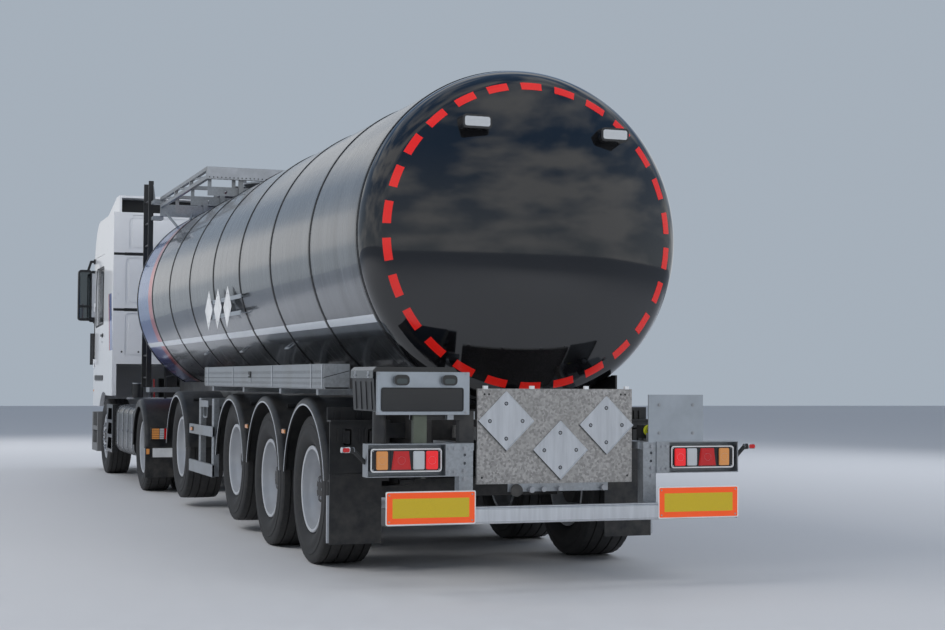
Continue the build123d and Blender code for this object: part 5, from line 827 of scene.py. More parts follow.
# Finish, stations, how far inside the plate's edge, corner radius
plate_layers = (
    ("white_edge", (0.0014, 0.0047), 0, 0.010),
    ("orange", (0.0008, 0.0015), 0.007, 0.008),
    ("olive", (0.0002, 0.0009), 0.042, 0.004),
)
plates = Piece("white_edge")
for name, side in sides:
    y = mirrored(side, *plate_y)
    for finish, stations, by, radius in plate_layers:
        plates.use(finish).plate(between(*stations), inset(y, by), inset(plate_z, by), radius)
    plates.use("steel")
    for rivet_y in inset(y, 0.022):
        for rivet_z in inset(plate_z, 0.022):
            plates.stud(between(0.001, -0.002), rivet_y, rivet_z, 0.006, 10, 0.004)
plates.done("marking_faces", "trailer", replaces=("marking_plates",), slot="marking_orange")

# Underrun bar's drawn cover with its lip, and black end caps

bar_half = 1.165
bar_y = (-bar_half, bar_half)
bar = Piece("alloy_plate")
bar.prism(rounded(between(0.0049, 0.106), (0.4242, 0.5258), 0.0148), *bar_y)
bar.box(between(0.004, 0.012), bar_y, (0.5235, 0.529))
for groove_z in (0.452, 0.498):
    bar.box(between(0.1055, 0.1075), bar_y, about(groove_z, 0.006))
bar.use("plastic")
for name, side in sides:
    cap = rounded(between(0.0045, 0.1075), (0.423, 0.5275), 0.016)
    bar.prism(cap, *mirrored(side, bar_half - 0.004, bar_half + 0.005))
bar.done("underrun_cover", "trailer", slot="aluminium")

# Rear lamps: housings with bezels and lenses of their own colours

lamp_unit_y = (0.775, 1.225)
lamp_unit_z = (0.735, 0.877)
lens_z = (0.750, 0.862)
# Lens finish, inner and outer distance from the middle
lens_table = (
    ("lens_amber", 1.117, 1.190),
    ("lens_red", 0.971, 1.094),
    ("lens_clear", 0.886, 0.958),
    ("lens_bright", 0.800, 0.876),
)
red_taper = 0.014
lamps = Piece("gloss_plastic")
for name, side in sides:
    unit_y = mirrored(side, *lamp_unit_y)
    lamps.use("gloss_plastic").plate(between(0.160, 0.2297), unit_y, lamp_unit_z, 0.018)
    lamps.use("white_edge").collar(between(0.153, 0.162), unit_y, lamp_unit_z, 0.018, 0.008)
    lamps.use("steel")
    for screw_y in inset(unit_y, 0.016):
        for screw_z in inset(lamp_unit_z, 0.014):
            lamps.stud(between(0.161, 0.156), screw_y, screw_z, 0.005, 10)
    for finish, low_y, high_y in lens_table:
        y = mirrored(side, low_y, high_y)
        middle = (y[0] + y[1]) / 2
        lamps.use("gloss_plastic")
        lamps.plate(between(0.156, 0.161), inset(y, -0.005), inset(lens_z, -0.004), 0.010)
        lamps.use(finish)
        if finish == "lens_red":
            for depth, shrink in ((0.146, 0.006), (0.151, 0.0)):
                low, high = inset(lens_z, shrink)
                half = (high_y - low_y) / 2 - shrink
                foot, head = about(middle, half), about(middle, half - red_taper)
                outline = ((foot[0], low), (foot[1], low), (head[1], high), (head[0], high))
                lamps.prism(outline, at(depth), at(0.157), "X")
        else:
            lamps.plate(between(0.146, 0.157), inset(y, 0.004), inset(lens_z, 0.004), 0.012)
            lamps.plate(between(0.150, 0.157), y, lens_z, 0.010)
        # Round reflector on each lens
        lamps.use("steel").ring_on(at(0.1455), middle, sum(lens_z) / 2, 0.024, 0.0015)
# Two small lamps over the left board's blank holder
for lamp_y in (0.738, 1.043):
    span = about(lamp_y, 0.048)
    lamps.use("gloss_plastic").plate(between(0.114, 0.1497), span, (1.258, 1.322), 0.026)
    lamps.use("mirror").plate(between(0.1125, 0.1145), inset(span, 0.014), (1.268, 1.300), 0.014)
# Two work lamps high on the head, each with four round lights
for lamp_y, lamp_z in ((0.430, 2.950), (-0.545, 2.920)):
    rise = lamp_z - tank_axis_z
    x = on_head(math.atan2(rise, lamp_y), math.hypot(rise, lamp_y), 0).x
    for finish, stand, by, radius in (
        ("gloss_plastic", (-0.085, 0.035), 0, 0.026),
        ("lens_clear", (-0.0875, -0.084), 0.014, 0.014),
    ):
        depth = (x + stand[0], x + stand[1])
        lamps.use(finish).plate(depth, about(lamp_y, 0.100 - by), about(lamp_z, 0.045 - by), radius)
    lamps.use("steel")
    for k in range(4):
        lamps.ring_on(x - 0.088, lamp_y - 0.057 + 0.038 * k, lamp_z, 0.013, 0.001)
lamps.done("rear_lamp_faces", "trailer", replaces=("rear_lamps",), slot="lamp_red", bevel=0.0008)

# Markers at the trays' outer ends: black sleeve, light end lens

markers = Piece("hose_black")
marker_x = at(0.190)
marker_route = ((1.247, 0.790), (1.322, 0.868), (1.345, 0.870), (1.398, 0.870))
for name, side in sides:
    root, elbow, joint, tip = ((marker_x, side * y, z) for y, z in marker_route)
    markers.use("hose_black").rod(root, elbow, 0.0135, 14).rod(elbow, joint, 0.0185, 18)
    markers.use("lens_clear").rod(joint, tip, 0.0180, 18, 0.0165)
    lamp_y = mirrored(side, 1.350, 1.392)
    markers.use("lens_red").plate(between(0.1705, 0.180), lamp_y, (0.857, 0.883), 0.010)
markers.done("end_markers", "trailer", slot="lamp_red")

# Sign panel's diamonds, rivets, tabs and the couplings below


def diamond(u, v, half):
    """Corners of a square on its tip: top, low side, bottom, high side."""
    return [(u, v + half), (u - half, v), (u, v - half), (u + half, v)]


signs = Piece("alloy_plate")
panel_x = at(0.2104)
# Finish and lift of the border along each edge. The black strip from the bottom to the high side is a
# painted shadow line
diamond_edges_and_shadow = (
    ("alloy_plate", 0.002), ("alloy_plate", 0.004), ("hose_black", 0.004), ("alloy_plate", 0.002),
)
for y, z in ((0.335, 1.039), (-0.029, 0.856), (-0.345, 1.011)):
    corners = diamond(y, z, 0.265 / math.sqrt(2))
    signs.use("alloy_plate").prism(corners, at(0.2102), at(0.2121), "X")
    middle = Vector((0, y, z))
    for k, (finish, lift) in enumerate(diamond_edges_and_shadow):
        a, b = Vector((0, *corners[k])), Vector((0, *corners[(k + 1) % 4]))
        inward = (middle - (a + b) / 2).normalized()
        strip = [a, b, b + inward * 0.004, a + inward * 0.004]
        signs.use(finish).prism([(p.y, p.z) for p in strip], at(0.2102 - lift), at(0.2110), "X")
        spot = a + (middle - a) * 0.42
        signs.use("hose_black").stud((panel_x, at(0.2098)), spot.y, spot.z, 0.0125)
        signs.use("steel").stud((panel_x, at(0.2060)), spot.y, spot.z, 0.0085, 12, 0.005)
signs.use("white")
for tab_y in (-0.49, -0.21, 0.16, 0.47):
    signs.box(between(0.2125, 0.236), about(tab_y, 0.014), (1.238, 1.258))
signs.use("hose_black")
for name, side in sides:
    for hole_y, hole_z in ((0.478, 1.205), (0.448, 1.205), (0.493, 0.69)):
        signs.stud(between(0.2151, 0.2146), side * hole_y, hole_z, 0.007, 12)
signs.use("zinc").box(between(0.2185, 0.2225), (-0.36, 0.32), (0.600, 0.662))
# Couplings: place, radius and finish of the cap
for y, z, radius, cap in (
    (0.27, 0.610, 0.040, "chassis"),
    (0.17, 0.612, 0.020, "steel"),
    (0.09, 0.615, 0.018, "steel"),
    (-0.02, 0.617, 0.016, "steel"),
    (-0.32, 0.620, 0.020, "steel"),
):
    signs.use("steel").stud(between(0.2190, 0.190), y, z, radius * 0.72, 20)
    signs.use(cap).stud(between(0.198, 0.180), y, z, radius, 24, radius * 0.9)
signs.done("sign_faces", "trailer", slot="galvanised", bevel=0.0006)

# Blank holder on the left board, bolts of the boards and posts, dark covers, a yellow disc, and painted
# shade over the left post

boards = Piece("gloss_plastic")
holder = ((0.640, 1.165), (1.100, 1.245), 0.014)
boards.plate(between(0.1445, 0.1497), *holder)
boards.use("plastic").collar(between(0.1415, 0.146), *holder, 0.007)
rearward = (-1, 0, 0)
for y in about(-0.805, 0.12):
    for z in about(1.050, 0.09):
        boards.use("steel").bolt((at(0.1497), y, z), rearward, 0.0085, 0.007)
        boards.use("hose_black").stud(between(0.1499, 0.1494), y + 0.026, z, 0.005, 10)
boards.use("steel")
# Station, distances from the middle, heights, radius and height of the heads
post_bolts = (
    (0.1497, (0.632,), (0.690, 0.739, 0.876), 0.0105, 0.009),
    (0.150, (0.650,), (0.450, 0.500), 0.0105, 0.009),
    (0.1397, (0.70, 0.735), (0.735, 0.875), 0.008, 0.007),
)
for name, side in sides:
    for station, distances, heights, radius, head in post_bolts:
        for y in distances:
            for z in heights:
                boards.bolt((at(station), side * y, z), rearward, radius, head)
for y in (0.625, 1.180):
    for z in (1.092, 1.330):
        boards.bolt((at(0.1497), y, z), rearward, 0.006, 0.005)
boards.use("hose_black").box(between(0.1885, 0.3515), (-0.9015, -0.7785), (0.9065, 1.0115))
# Yellow disc seen between the panel and the right board, on a bracket of the right post
boards.box(between(0.2305, 0.300), (-0.745, -0.600), (0.925, 1.010))
boards.use("yellow").stud(between(0.2305, 0.216), -0.650, 0.976, 0.036, 32, 0.030)
boards.use("hose_black").stud(between(0.217, 0.2135), -0.650, 0.976, 0.014, 20)
# Light outer faces of the two boards, and a dark rod over the left post's upper end: painted shade in the
# gap between the tray and the board
board_face = between(0.1488, 0.1498)
boards.use("zinc_smooth").plate(board_face, (0.6015, 1.1885), (1.0815, 1.3385), 0.006)
boards.plate(board_face, (-0.9985, -0.6115), (0.9015, 1.2035), 0.006)
# Dark rod: painted shade where the left post stands between the tray and the board
boards.use("chassis").rod((at(0.230), 1.150, 0.9065), (at(0.230), 1.150, 1.0990), 0.0415, 28)
boards.done("board_fittings", "trailer", slot="galvanised")

# Lips, bolts and side markers of the trailer's guards. The lips' light grey is a painted highlight along
# the black guards' glossy edges

guard_radius = 0.645
lip_steps = 60
lip_section = ((1.1995, 0.5885), (1.2022, 0.5885), (1.2022, 0.6005), (1.1995, 0.6005))
trims = Piece("lip")
lip_angles = [math.radians(9 + 162 * k / lip_steps) for k in range(lip_steps + 1)]
for number, station, height in trailer_axles:
    centre = Vector((at(station), 0, ground_z + trailer_tyre[0]))
    for name, side in sides:
        rings = [[centre + around("Y", side * y, r, t) for y, r in lip_section] for t in lip_angles]
        # Raised lip whose light grey paints the highlight along the guard's edge
        trims.use("lip").rings(rings)
        trims.use("steel")
        for angle in (math.radians(60), math.radians(120)):
            for y in (0.90, 1.06):
                spot = centre + around("Y", side * y, guard_radius + 0.0005, angle)
                trims.bolt(spot, around("Y", 0, 1, angle), 0.010, 0.008)
# Side markers: station, distance from the middle, height, whether on an arm
for station, y, z, arm in (
    (2.615, 1.183, 0.905, True),
    (3.945, 1.183, 0.905, True),
    (6.30, 1.225, 0.815, False),
):
    x = at(station)
    for name, side in sides:
        if arm:
            trims.use("chassis").rod((x, side * 0.6553, z), (x, side * 1.166, z), 0.009, 10)
        trims.use("hose_black").box(about(x, 0.050), mirrored(side, y - 0.016, y), about(z, 0.020))
        trims.use("lens_amber").box(about(x, 0.044), mirrored(side, y, y + 0.008), about(z, 0.014))
trims.done("guard_trims", "trailer", slot="guard_plastic")

# Dark boxes on the carriers of the tool box and the left board, painted shade in the gap between the tray
# and the board, and the olive strut

carrier = Piece("chassis")
# Black boxes and a thin black sheet: painted shade between the tray and the board
carrier.box(between(0.267, 0.203), (0.553, 0.647), (0.907, 1.048))
carrier.box(between(0.692, 0.203), (0.698, 0.742), (1.048, 1.102))
carrier.box(between(0.2045, 0.2025), (0.553, 0.965), (1.047, 1.102))
carrier.use("trunk").box(between(0.212, 0.168), (0.868, 0.952), (0.908, 1.098))
carrier.done("carrier_painted_shade_and_strut", "trailer", slot="chassis_black", bevel=0.0006)

# Tread bars of the plank and the platform, then the clamps and the raised ring of the lid

treads = Piece("alloy")
for k in range(45):
    x = at(8.930) + 0.03 + k * 0.0495
    treads.box((x, x + 0.012), (-0.292, 0.292), (3.4737, 3.4795))
for k in range(24):
    y = -0.78 + k * 0.0668
    treads.box(between(7.969, 7.9935), (y, y + 0.020), (3.4255, 3.4300))
treads.done("platform_tread", "trailer", slot="galvanised")

lid_centre = Vector((at(8.600), 0, 3.4533))
clamps = Piece("steel")
for t in circle(6, math.radians(30)):
    out = around("Z", 0, 1, t)
    heights = (0.016, 0.034, 0.050, 0.060)
    low, pin, nut, high = (lid_centre + out * 0.262 + Vector((0, 0, h)) for h in heights)
    clamps.rod(low, high, 0.008, 12)
    clamps.rod(pin - out * 0.018, pin + out * 0.02, 0.011, 12)
    clamps.bolt(nut, (0, 0, 1), 0.017, 0.018)
lid_ring = ((0.0162, 0.240), (0.020, 0.236), (0.0205, 0.222), (0.0165, 0.218))
clamps.rings([[lid_centre + around("Z", h, r, t) for t in circle(64)] for h, r in lid_ring])
clamps.done("manhole_fittings", "manhole_lid", slot="galvanised")

# Blank diamonds on the tank's sides, on two rails with feet


def skin_y(z):
    """Distance of the tank's side from the middle at a height."""
    return tank_radius * math.cos(math.asin((z - tank_axis_z) / tank_radius))


placards = Piece("zinc")
placard_z = 1.93
rail_y = skin_y(placard_z) + 0.060
for name, side in sides:
    for k, x in enumerate((at(5.05), at(5.48), at(5.90))):
        near = rail_y + 0.004 * k
        placards.use("white").prism(diamond(x, placard_z, 0.184), *mirrored(side, near, near + 0.002))
        placards.use("steel")
        for z in (placard_z - 0.12, placard_z + 0.12):
            placards.rod((x, side * (near + 0.002), z), (x, side * (near + 0.0045), z), 0.006, 10)
    placards.use("zinc_smooth")
    for z in about(placard_z, 0.07):
        placards.box(between(4.46, 6.00), mirrored(side, rail_y - 0.004, rail_y), about(z, 0.018))
        for x in (at(4.49), at(5.22), at(5.97)):
            placards.box(about(x, 0.02), mirrored(side, skin_y(z) - 0.004, rail_y), about(z, 0.003))
placards.done("placard_holders", "trailer", slot="galvanised")

# Cab: seams, glass borders, grille, lamps, wipers and stripes


def screen_x(z):
    """X of the windscreen's outer face at a height."""
    return at(14.660) - (z - 1.930) * 0.0933


cab_trim = Piece("hose_black")
for low, high in ((2.176, 2.218), (2.915, 2.957)):
    cab_trim.box(between(12.5005, 12.5035), (-1.055, 1.055), (low, high))
    cab_trim.box(between(12.4888, 12.4920), (-1.196, 1.196), inset((low, high), 0.004))
for y in (-1.08, -0.86, 0.86, 1.08):
    cab_trim.stud(between(12.489, 12.492), y, 1.640, 0.013)
cab_trim.box(between(12.758, 12.764), (-1.098, 1.098), (3.492, 3.680))
# Rubber round the windscreen: span across, heights and lift off the glass
for y, heights, lift in (
    ((-1.049, -1.012), (2.021, 2.949), 0.0015),
    ((1.012, 1.049), (2.021, 2.949), 0.0015),
    ((-1.012, 1.012), (2.021, 2.062), 0.0018),
    ((-1.012, 1.012), (2.915, 2.949), 0.0018),
):
    points = [(screen_x(c) + a, b, c) for c in heights for a in (-0.004, lift) for b in y]
    cab_trim.add(points, box_faces)
# Points of a wiper's arm and blade: lift off the glass, shift across, height
wiper = (
    (0.030, 0, 1.985), (0.036, -0.10, 2.040), (0.022, -0.62, 2.120),
    (0.0056675, -0.24, 2.075), (0.008933, -0.92, 2.170),
)
for start_y in (-0.08, 0.62):
    points = [Vector((screen_x(z) + lift, start_y + shift, z)) for lift, shift, z in wiper]
    root, elbow, tip, heel, toe = points
    cab_trim.stud((root.x - 0.05, root.x + 0.014), root.y, root.z, 0.018)
    cab_trim.rod(root, elbow, 0.008, 10)
    cab_trim.rod(elbow, tip, 0.007, 10, 0.005)
    cab_trim.rod(heel, toe, 0.0065, 8)
# Grille backing, its fins, and the dark band above
grille_y = (-0.759, 0.759)
for slot in range(5):
    z = 1.000 + 0.130 * slot
    cab_trim.use("hose_black").box(between(14.7125, 14.716), grille_y, (z + 0.001, z + 0.079))
    cab_trim.use("plastic")
    for k in range(3):
        cab_trim.box(between(14.715, 14.754), grille_y, about(z + 0.018 + 0.022 * k, 0.003))
cab_trim.use("gloss_plastic").box(between(14.7521, 14.757), (-0.758, 0.758), (1.739, 1.867))
cab_trim.use("steel").box(between(14.756, 14.762), (-0.740, 0.740), (1.800, 1.806))
# Wind flap ahead of the door, and the stripe behind it, blue with a thin red edge
flap = ((14.480, 1.199), (14.478, 1.240), (14.500, 1.262), (14.560, 1.250), (14.640, 1.199))
cab_stripes = (("cab_blue", (12.495, 12.74, 12.90, 12.655)), ("hose_red", (12.76, 12.80, 12.96, 12.92)))
for side in (-1, 1):
    # Corner lamp and dark corner strip
    cab_trim.boxes(side, (
        ("lens_amber", (14.470, 14.540), (1.199, 1.206), (1.100, 1.130)),
        ("hose_black", (14.455, 14.530), (1.1995, 1.204), (1.480, 2.080)),
    ))
    cab_trim.use("gloss_plastic").prism([(at(x), side * y) for x, y in flap], 1.480, 1.930, "Z")
    for finish, stations in cab_stripes:
        outline = [(at(x), z) for x, z in zip(stations, (1.66, 1.66, 2.42, 2.42))]
        cab_trim.use(finish).prism(outline, *mirrored(side, 1.1998, 1.2012))
    # Roof lamps over the visor
    cab_trim.use("lens_amber")
    for y in (side * 0.35, side * 0.95):
        cab_trim.rod((at(14.30), y, 3.356), (at(14.37), y, 3.322), 0.022, 16, 0.018)
cab_trim.done("cab_trims", "cab", slot="guard_plastic", bevel=0.0006)

# Doors: rubber round the glass, handle, lock and guard strip


def soften(points, radius, steps=4):
    """A closed outline with its corners rounded."""
    result = []
    for k, here in enumerate(points):
        before = points[k - 1]
        after = points[(k + 1) % len(points)]
        start = here + (before - here).normalized() * radius
        end = here + (after - here).normalized() * radius
        for i in range(steps + 1):
            t = i / steps
            result.append((1 - t) ** 2 * start + 2 * t * (1 - t) * here + t**2 * end)
    return result


door_glass = ((13.500, 2.048), (13.500, 2.820), (14.260, 2.820), (14.350, 2.620), (14.350, 2.020))
corners = [Vector((at(x), z)) for x, z in door_glass]
middle = Vector([sum(values) / len(corners) for values in zip(*corners)])
outer, inner = (
    soften([middle + (corner - middle) * scale for corner in corners], radius)
    for scale, radius in ((1.045, 0.05), (0.985, 0.045))
)
for name, side in sides:
    trim = Piece("hose_black")
    near, far = side * 1.1992, side * 1.2030
    layers = ((near, outer), (far, outer), (far, inner), (near, inner))
    trim.rings([[(p.x, y, p.y) for p in outline] for y, outline in layers], closed=True)
    trim.boxes(side, (
        ("plastic", (13.498, 13.682), (1.1965, 1.2175), (1.8645, 1.8955)),
        ("hose_black", (13.5005, 13.6795), (1.1862, 1.1872), (1.8505, 1.9095)),
        ("plastic", (13.46, 14.39), (1.199, 1.206), (1.262, 1.330)),
    ))
    trim.use("steel").rod((at(13.60), side * 1.206, 1.790), (at(13.60), side * 1.198, 1.790), 0.011)
    trim.done(f"door_trim_{name}", f"door_{name}", slot="guard_plastic", bevel=0.0006)

# Mirror faces in their recesses, and beside them a light grey sheet with dark ends that paints the sky's
# reflection in the door glass

mirror_face = Piece("mirror")
for name, side in sides:
    mirror_face.use("mirror")
    for z in ((2.146, 2.299), (2.331, 2.804)):
        mirror_face.plate(between(14.4830, 14.4860), mirrored(side, 1.267, 1.423), z, 0.024)
    mirror_face.boxes(side, (
        # Light grey sheet: painted reflection of the bright sky
        ("lip", (14.4815, 14.565), (1.2005, 1.2495), (2.160, 2.790)),
        ("plastic", (14.4845, 14.562), (1.205, 1.2495), (2.120, 2.161)),
        ("plastic", (14.4845, 14.562), (1.205, 1.2495), (2.789, 2.830)),
    ))
mirror_face.done("mirror_faces", "cab", slot="window_glass")

# Headlamps: bowls and a turn lamp under a clear cover, with the bumper's fog lamps and plate

bowl = (
    (0.0, 0.0005), (0.004, 0.020), (0.022, 0.045), (0.050, 0.066), (0.052, 0.070), (0.048, 0.070),
    (-0.004, 0.030), (-0.004, 0.0005),
)
fog_lamp = (
    (14.751, 0.0005), (14.751, 0.049), (14.780, 0.049),
    (14.780, 0.043), (14.756, 0.030), (14.756, 0.0005),
)
# Station and distance from the middle along the clear cover
cover_arc = ((14.7996, 0.7205), (14.7996, 1.000), (14.797, 1.032), (14.7904, 1.0595))
cover_z = (0.5005, 0.6795)
heads = Piece("gloss_plastic")
covers = Piece("cover")
for name, side in sides:
    heads.boxes(side, (
        ("gloss_plastic", (14.6605, 14.705), (0.7205, 1.0595), cover_z),
        ("gloss_plastic", (14.704, 14.788), (0.7205, 1.0595), (0.5005, 0.5080)),
        ("gloss_plastic", (14.704, 14.788), (0.7205, 1.0595), (0.6720, 0.6795)),
    ))
    for y in (side * 0.800, side * 0.930):
        heads.use("steel").lathe([(at(14.710) + a, r) for a, r in bowl], (0, y, 0.590), "X", 40)
        heads.use("lens_clear").stud(between(14.712, 14.738), y, 0.590, 0.016, 16, 0.012)
    heads.boxes(side, (
        ("lens_amber", (14.720, 14.760), (1.010, 1.045), (0.525, 0.660)),
        ("lens_clear", (14.740, 14.755), (0.735, 1.000), (0.513, 0.519)),
    ))
    outline = [(at(x), side * y) for x, y in cover_arc]
    outline += [(x - 0.004, y) for x, y in reversed(outline)]
    covers.prism(outline, *cover_z, "Z")
    # Fog lamp, and a round cap in the bumper
    profile = [(at(a), r) for a, r in fog_lamp]
    heads.use("gloss_plastic").lathe(profile, (0, side * 0.710, 0.385), "X", 32)
    heads.use("lens_clear").stud(between(14.770, 14.776), side * 0.710, 0.385, 0.042, 32, 0.038)
    heads.use("plastic").stud(between(14.7995, 14.8015), side * 0.420, 0.640, 0.045, 32, 0.043)
heads.use("hose_black").box(between(14.7605, 14.763), (-0.599, 0.599), (0.331, 0.439))
heads.use("white").plate(between(14.7997, 14.8015), (-0.260, 0.260), (0.560, 0.670), 0.006)
heads.done("lamp_bowls", "tractor", replaces=("headlamps",), slot="clear_lens", bevel=0.0005)
covers.done("lamp_covers", "tractor", slot="clear_lens")

# Cab inside: dashboard, wheel, soft seats and bunk in place of the plain solids


def pad(piece, x, y, z, power=4.5, count=9, crown=0.0):
    """A stuffed form that fills a box, with rounded edges and a crowned top."""
    half = Vector(((x[1] - x[0]) / 2, (y[1] - y[0]) / 2, (z[1] - z[0]) / 2))
    centre = Vector((sum(x) / 2, sum(y) / 2, sum(z) / 2))
    row = count + 1
    piece.smooth = True
    for axis in range(3):
        for direction in (-1, 1):
            points = []
            for i in range(row):
                for j in range(row):
                    p = [0, 0, 0]
                    p[axis] = direction
                    p[(axis + 1) % 3] = 2 * i / count - 1
                    p[(axis + 2) % 3] = 2 * j / count - 1
                    size = sum(abs(c) ** power for c in p) ** (1 / power)
                    v = Vector([c / size for c in p])
                    v.z += crown * max(0, v.z) * (1 - v.x**2) * (1 - v.y**2)
                    shares = (1, 1, 1 + crown)
                    points.append(centre + Vector([v[k] * half[k] / shares[k] for k in range(3)]))
            starts = [i * row + j for i in range(count) for j in range(count)]
            piece.add(points, [(a, a + 1, a + row + 1, a + row) for a in starts])
    piece.smooth = False


def padded_done(piece, name):
    """Joins the edges of the pads and finishes the piece."""
    bmesh.ops.remove_doubles(piece.bm, verts=piece.bm.verts, dist=0.00005)
    return piece.done(name, "cab", slot="interior_grey", sharp=80)


inside_floor = ground_z + 1.5305
seat_x = at(13.420)
seat_z = 1.900
for name, side in sides:
    seat = Piece("cloth")
    y = mirrored(side, 0.315, 0.805)
    inner = inset(y, 0.075)
    pad(seat, (seat_x - 0.015, seat_x + 0.525), inner, (seat_z, seat_z + 0.128), crown=0.15)
    for bolster in ((y[0], y[0] + 0.095), (y[1] - 0.095, y[1])):
        pad(seat, (seat_x - 0.010, seat_x + 0.515), bolster, (seat_z + 0.002, seat_z + 0.140), count=7)
    # Four cross pads of the back, each set a little further back than the one below
    for k in range(4):
        low = seat_z + 0.100 + 0.130 * k
        x = seat_x - 0.062 + 0.012 * (3 - k)
        pad(seat, (x - 0.02, x + 0.098), inner, (low, low + 0.136), count=7)
    for bolster in ((y[0], y[0] + 0.090), (y[1] - 0.090, y[1])):
        pad(seat, about(seat_x, 0.075), bolster, (seat_z + 0.110, seat_z + 0.630), count=7)
    rest_y = mirrored(side, 0.425, 0.695)
    pad(seat, (seat_x - 0.090, seat_x + 0.005), rest_y, (seat_z + 0.650, seat_z + 0.835), count=8)
    seat_piece = padded_done(seat, f"seat_{name}")
bunk = Piece("cloth")
bunk_z = (ground_z + 1.882, ground_z + 2.008)
pad(bunk, between(12.570, 13.200), (-1.095, 1.095), bunk_z, power=7, count=16, crown=0.12)
bunk_piece = padded_done(bunk, "bunk_mattress")

cabin = Piece("interior")
dash_x = at(14.180)
# Stations and heights of the dashboard and of the hood over the dials
dash = (
    (14.240, 1.700), (14.590, 1.700), (14.590, 1.985), (14.280, 1.985), (14.190, 1.960), (14.180, 1.900),
)
hood = ((14.210, 1.983), (14.380, 1.983), (14.300, 2.045), (14.200, 2.035))
cabin.prism([(at(x), z) for x, z in dash], -1.100, 1.100)
cabin.box(between(14.200, 14.590), (-0.300, 0.300), (inside_floor, 1.701))
cabin.prism([(at(x), z) for x, z in hood], 0.350, 0.770)
cabin.use("gloss_plastic").box(between(14.2025, 14.2065), (0.380, 0.740), (1.990, 2.030))
cabin.plate(between(14.177, 14.200), (-0.16, 0.16), (1.80, 1.95), 0.012)
for y in (-0.95, -0.45, 0.25, 0.95):
    cabin.use("hose_black").plate(between(14.178, 14.200), about(y, 0.06), (1.880, 1.935), 0.010)
# Steering wheel
hub = Vector((dash_x - 0.150, 0.560, 2.090))
tilt = Vector((-0.210, 0, 0.180)).normalized()
turn = tilt.to_track_quat("Z", "Y").to_matrix()
wheel_radius = 0.220
grip = 0.015
cabin.rod(hub, (dash_x + 0.070, 0.560, 1.900), 0.035, 20)
rings = []
for t in circle(48):
    spoke = turn @ around("Z", 0, 1, t)
    section = [(wheel_radius + grip * math.cos(s), grip * math.sin(s)) for s in circle(12)]
    rings.append([hub + spoke * out + tilt * along for out, along in section])
cabin.skin(rings, closed=True)
for t in (0.15, math.pi - 0.15, -math.pi / 2):
    cabin.rod(hub, hub + turn @ around("Z", 0, 1, t) * 0.212, 0.020, 10, 0.012)
cabin.rod(hub - tilt * 0.01, hub + tilt * 0.018, 0.070, 32, 0.058)
# Seat boxes, stems of the head rests and the bunk's base
for name, side in sides:
    base_z = (inside_floor, seat_z - 0.002)
    cabin.use("interior").box((seat_x + 0.03, seat_x + 0.45), mirrored(side, 0.400, 0.720), base_z)
    cabin.use("steel")
    for y in (side * 0.49, side * 0.63):
        cabin.rod((seat_x - 0.042, y, seat_z + 0.60), (seat_x - 0.045, y, seat_z + 0.68), 0.008, 10)
cabin.use("interior").box(between(12.560, 13.220), (-1.130, 1.130), (inside_floor, ground_z + 1.880))
cabin.done("cabin_fittings", "cab", 0.004, 2, replaces=("cab_interior",), slot="interior_grey")

# Tractor's rear: blank plate, ribbed lamps and markers

lamp_ribs = (
    ("lens_red", (0.960, 1.035)),
    ("lens_clear", (1.035, 1.085)),
    ("lens_amber", (1.085, 1.172)),
)
rib_stations = (9.152, 9.1565)
marker_stations = (9.188, 9.199)
rear_end = Piece("white")
for name, side in sides:
    plate_y = mirrored(side, 0.650, 1.155)
    rear_end.use("white").plate(between(9.1885, 9.1905), plate_y, (0.405, 0.508), 0.006)
    for finish, distances in lamp_ribs:
        for k in range(6):
            z = 0.612 + 0.020 * k
            rear_end.boxes(side, [(finish, rib_stations, inset(distances, 0.002), (z, z + 0.016))])
    rear_end.boxes(side, [("lens_amber", marker_stations, (1.190, 1.225), (0.440, 0.500))])
rear_end.done("tractor_tail", "tractor", slot="lamp_red", bevel=0.0005)

# Slats of the deck behind the cab, and dark paint over the ladder

deck = Piece("zinc")
for k in range(1, 26):
    x = at(10.990) + 0.0495 * k
    deck.box((x, x + 0.022), (-0.495, 0.495), (0.9302, 0.9362))
deck.done("deck_slats", "tractor", slot="aluminium")

ladder = Piece("chassis")
for x in between(11.350, 11.750):
    ladder.box(about(x, 0.0128), (0.8592, 0.9208), (1.1805, 3.7808))
for k in range(9):
    ladder.stud(between(11.3635, 11.7365), 0.890, 1.300 + 0.280 * k, 0.0150, 14)
ladder.done("ladder_paint", "trailer", slot="chassis_black", bevel=0.0005)

# Hose box: seam of the lid, rows of slots and straps. The upper ones ride on the lid

slot_y = (1.2346, 1.2355)
seam_y = (1.2346, 1.2356)
strap_y = (1.2370, 1.2395)
box_straps = (1.294, 1.595, 2.800, 4.281, 5.421)


def slots_and_straps(piece, slot_z, strap_z):
    """A row of dark slots along the hose box, and the light straps across it."""
    piece.use("hose_black")
    for k in range(142):
        piece.box(about(at(1.300) + 0.030 * k, 0.0018), slot_y, slot_z)
    piece.use("lip")
    for station in box_straps:
        piece.box(about(at(station), 0.008), strap_y, strap_z)


fittings = Piece("hose_black")
fittings.box(between(1.242, 5.588), seam_y, (1.2985, 1.3025))
for x in between(1.262, 5.568):
    fittings.box(about(x, 0.003), seam_y, (1.226, 1.394))
slots_and_straps(fittings, (1.255, 1.274), (1.230, 1.297))
# Channel at the rear flap's outer edge and clips on the valance
for side in (-1, 1):
    fittings.use("lip").box(between(1.288, 1.304), mirrored(side, 1.168, 1.196), (0.205, 0.520))
    for distances in ((1.030, 1.086), (0.850, 0.915)):
        clip_y = mirrored(side, *distances)
        fittings.use("bumper").collar(between(1.290, 1.300), clip_y, (0.850, 0.960), 0.014, 0.010)
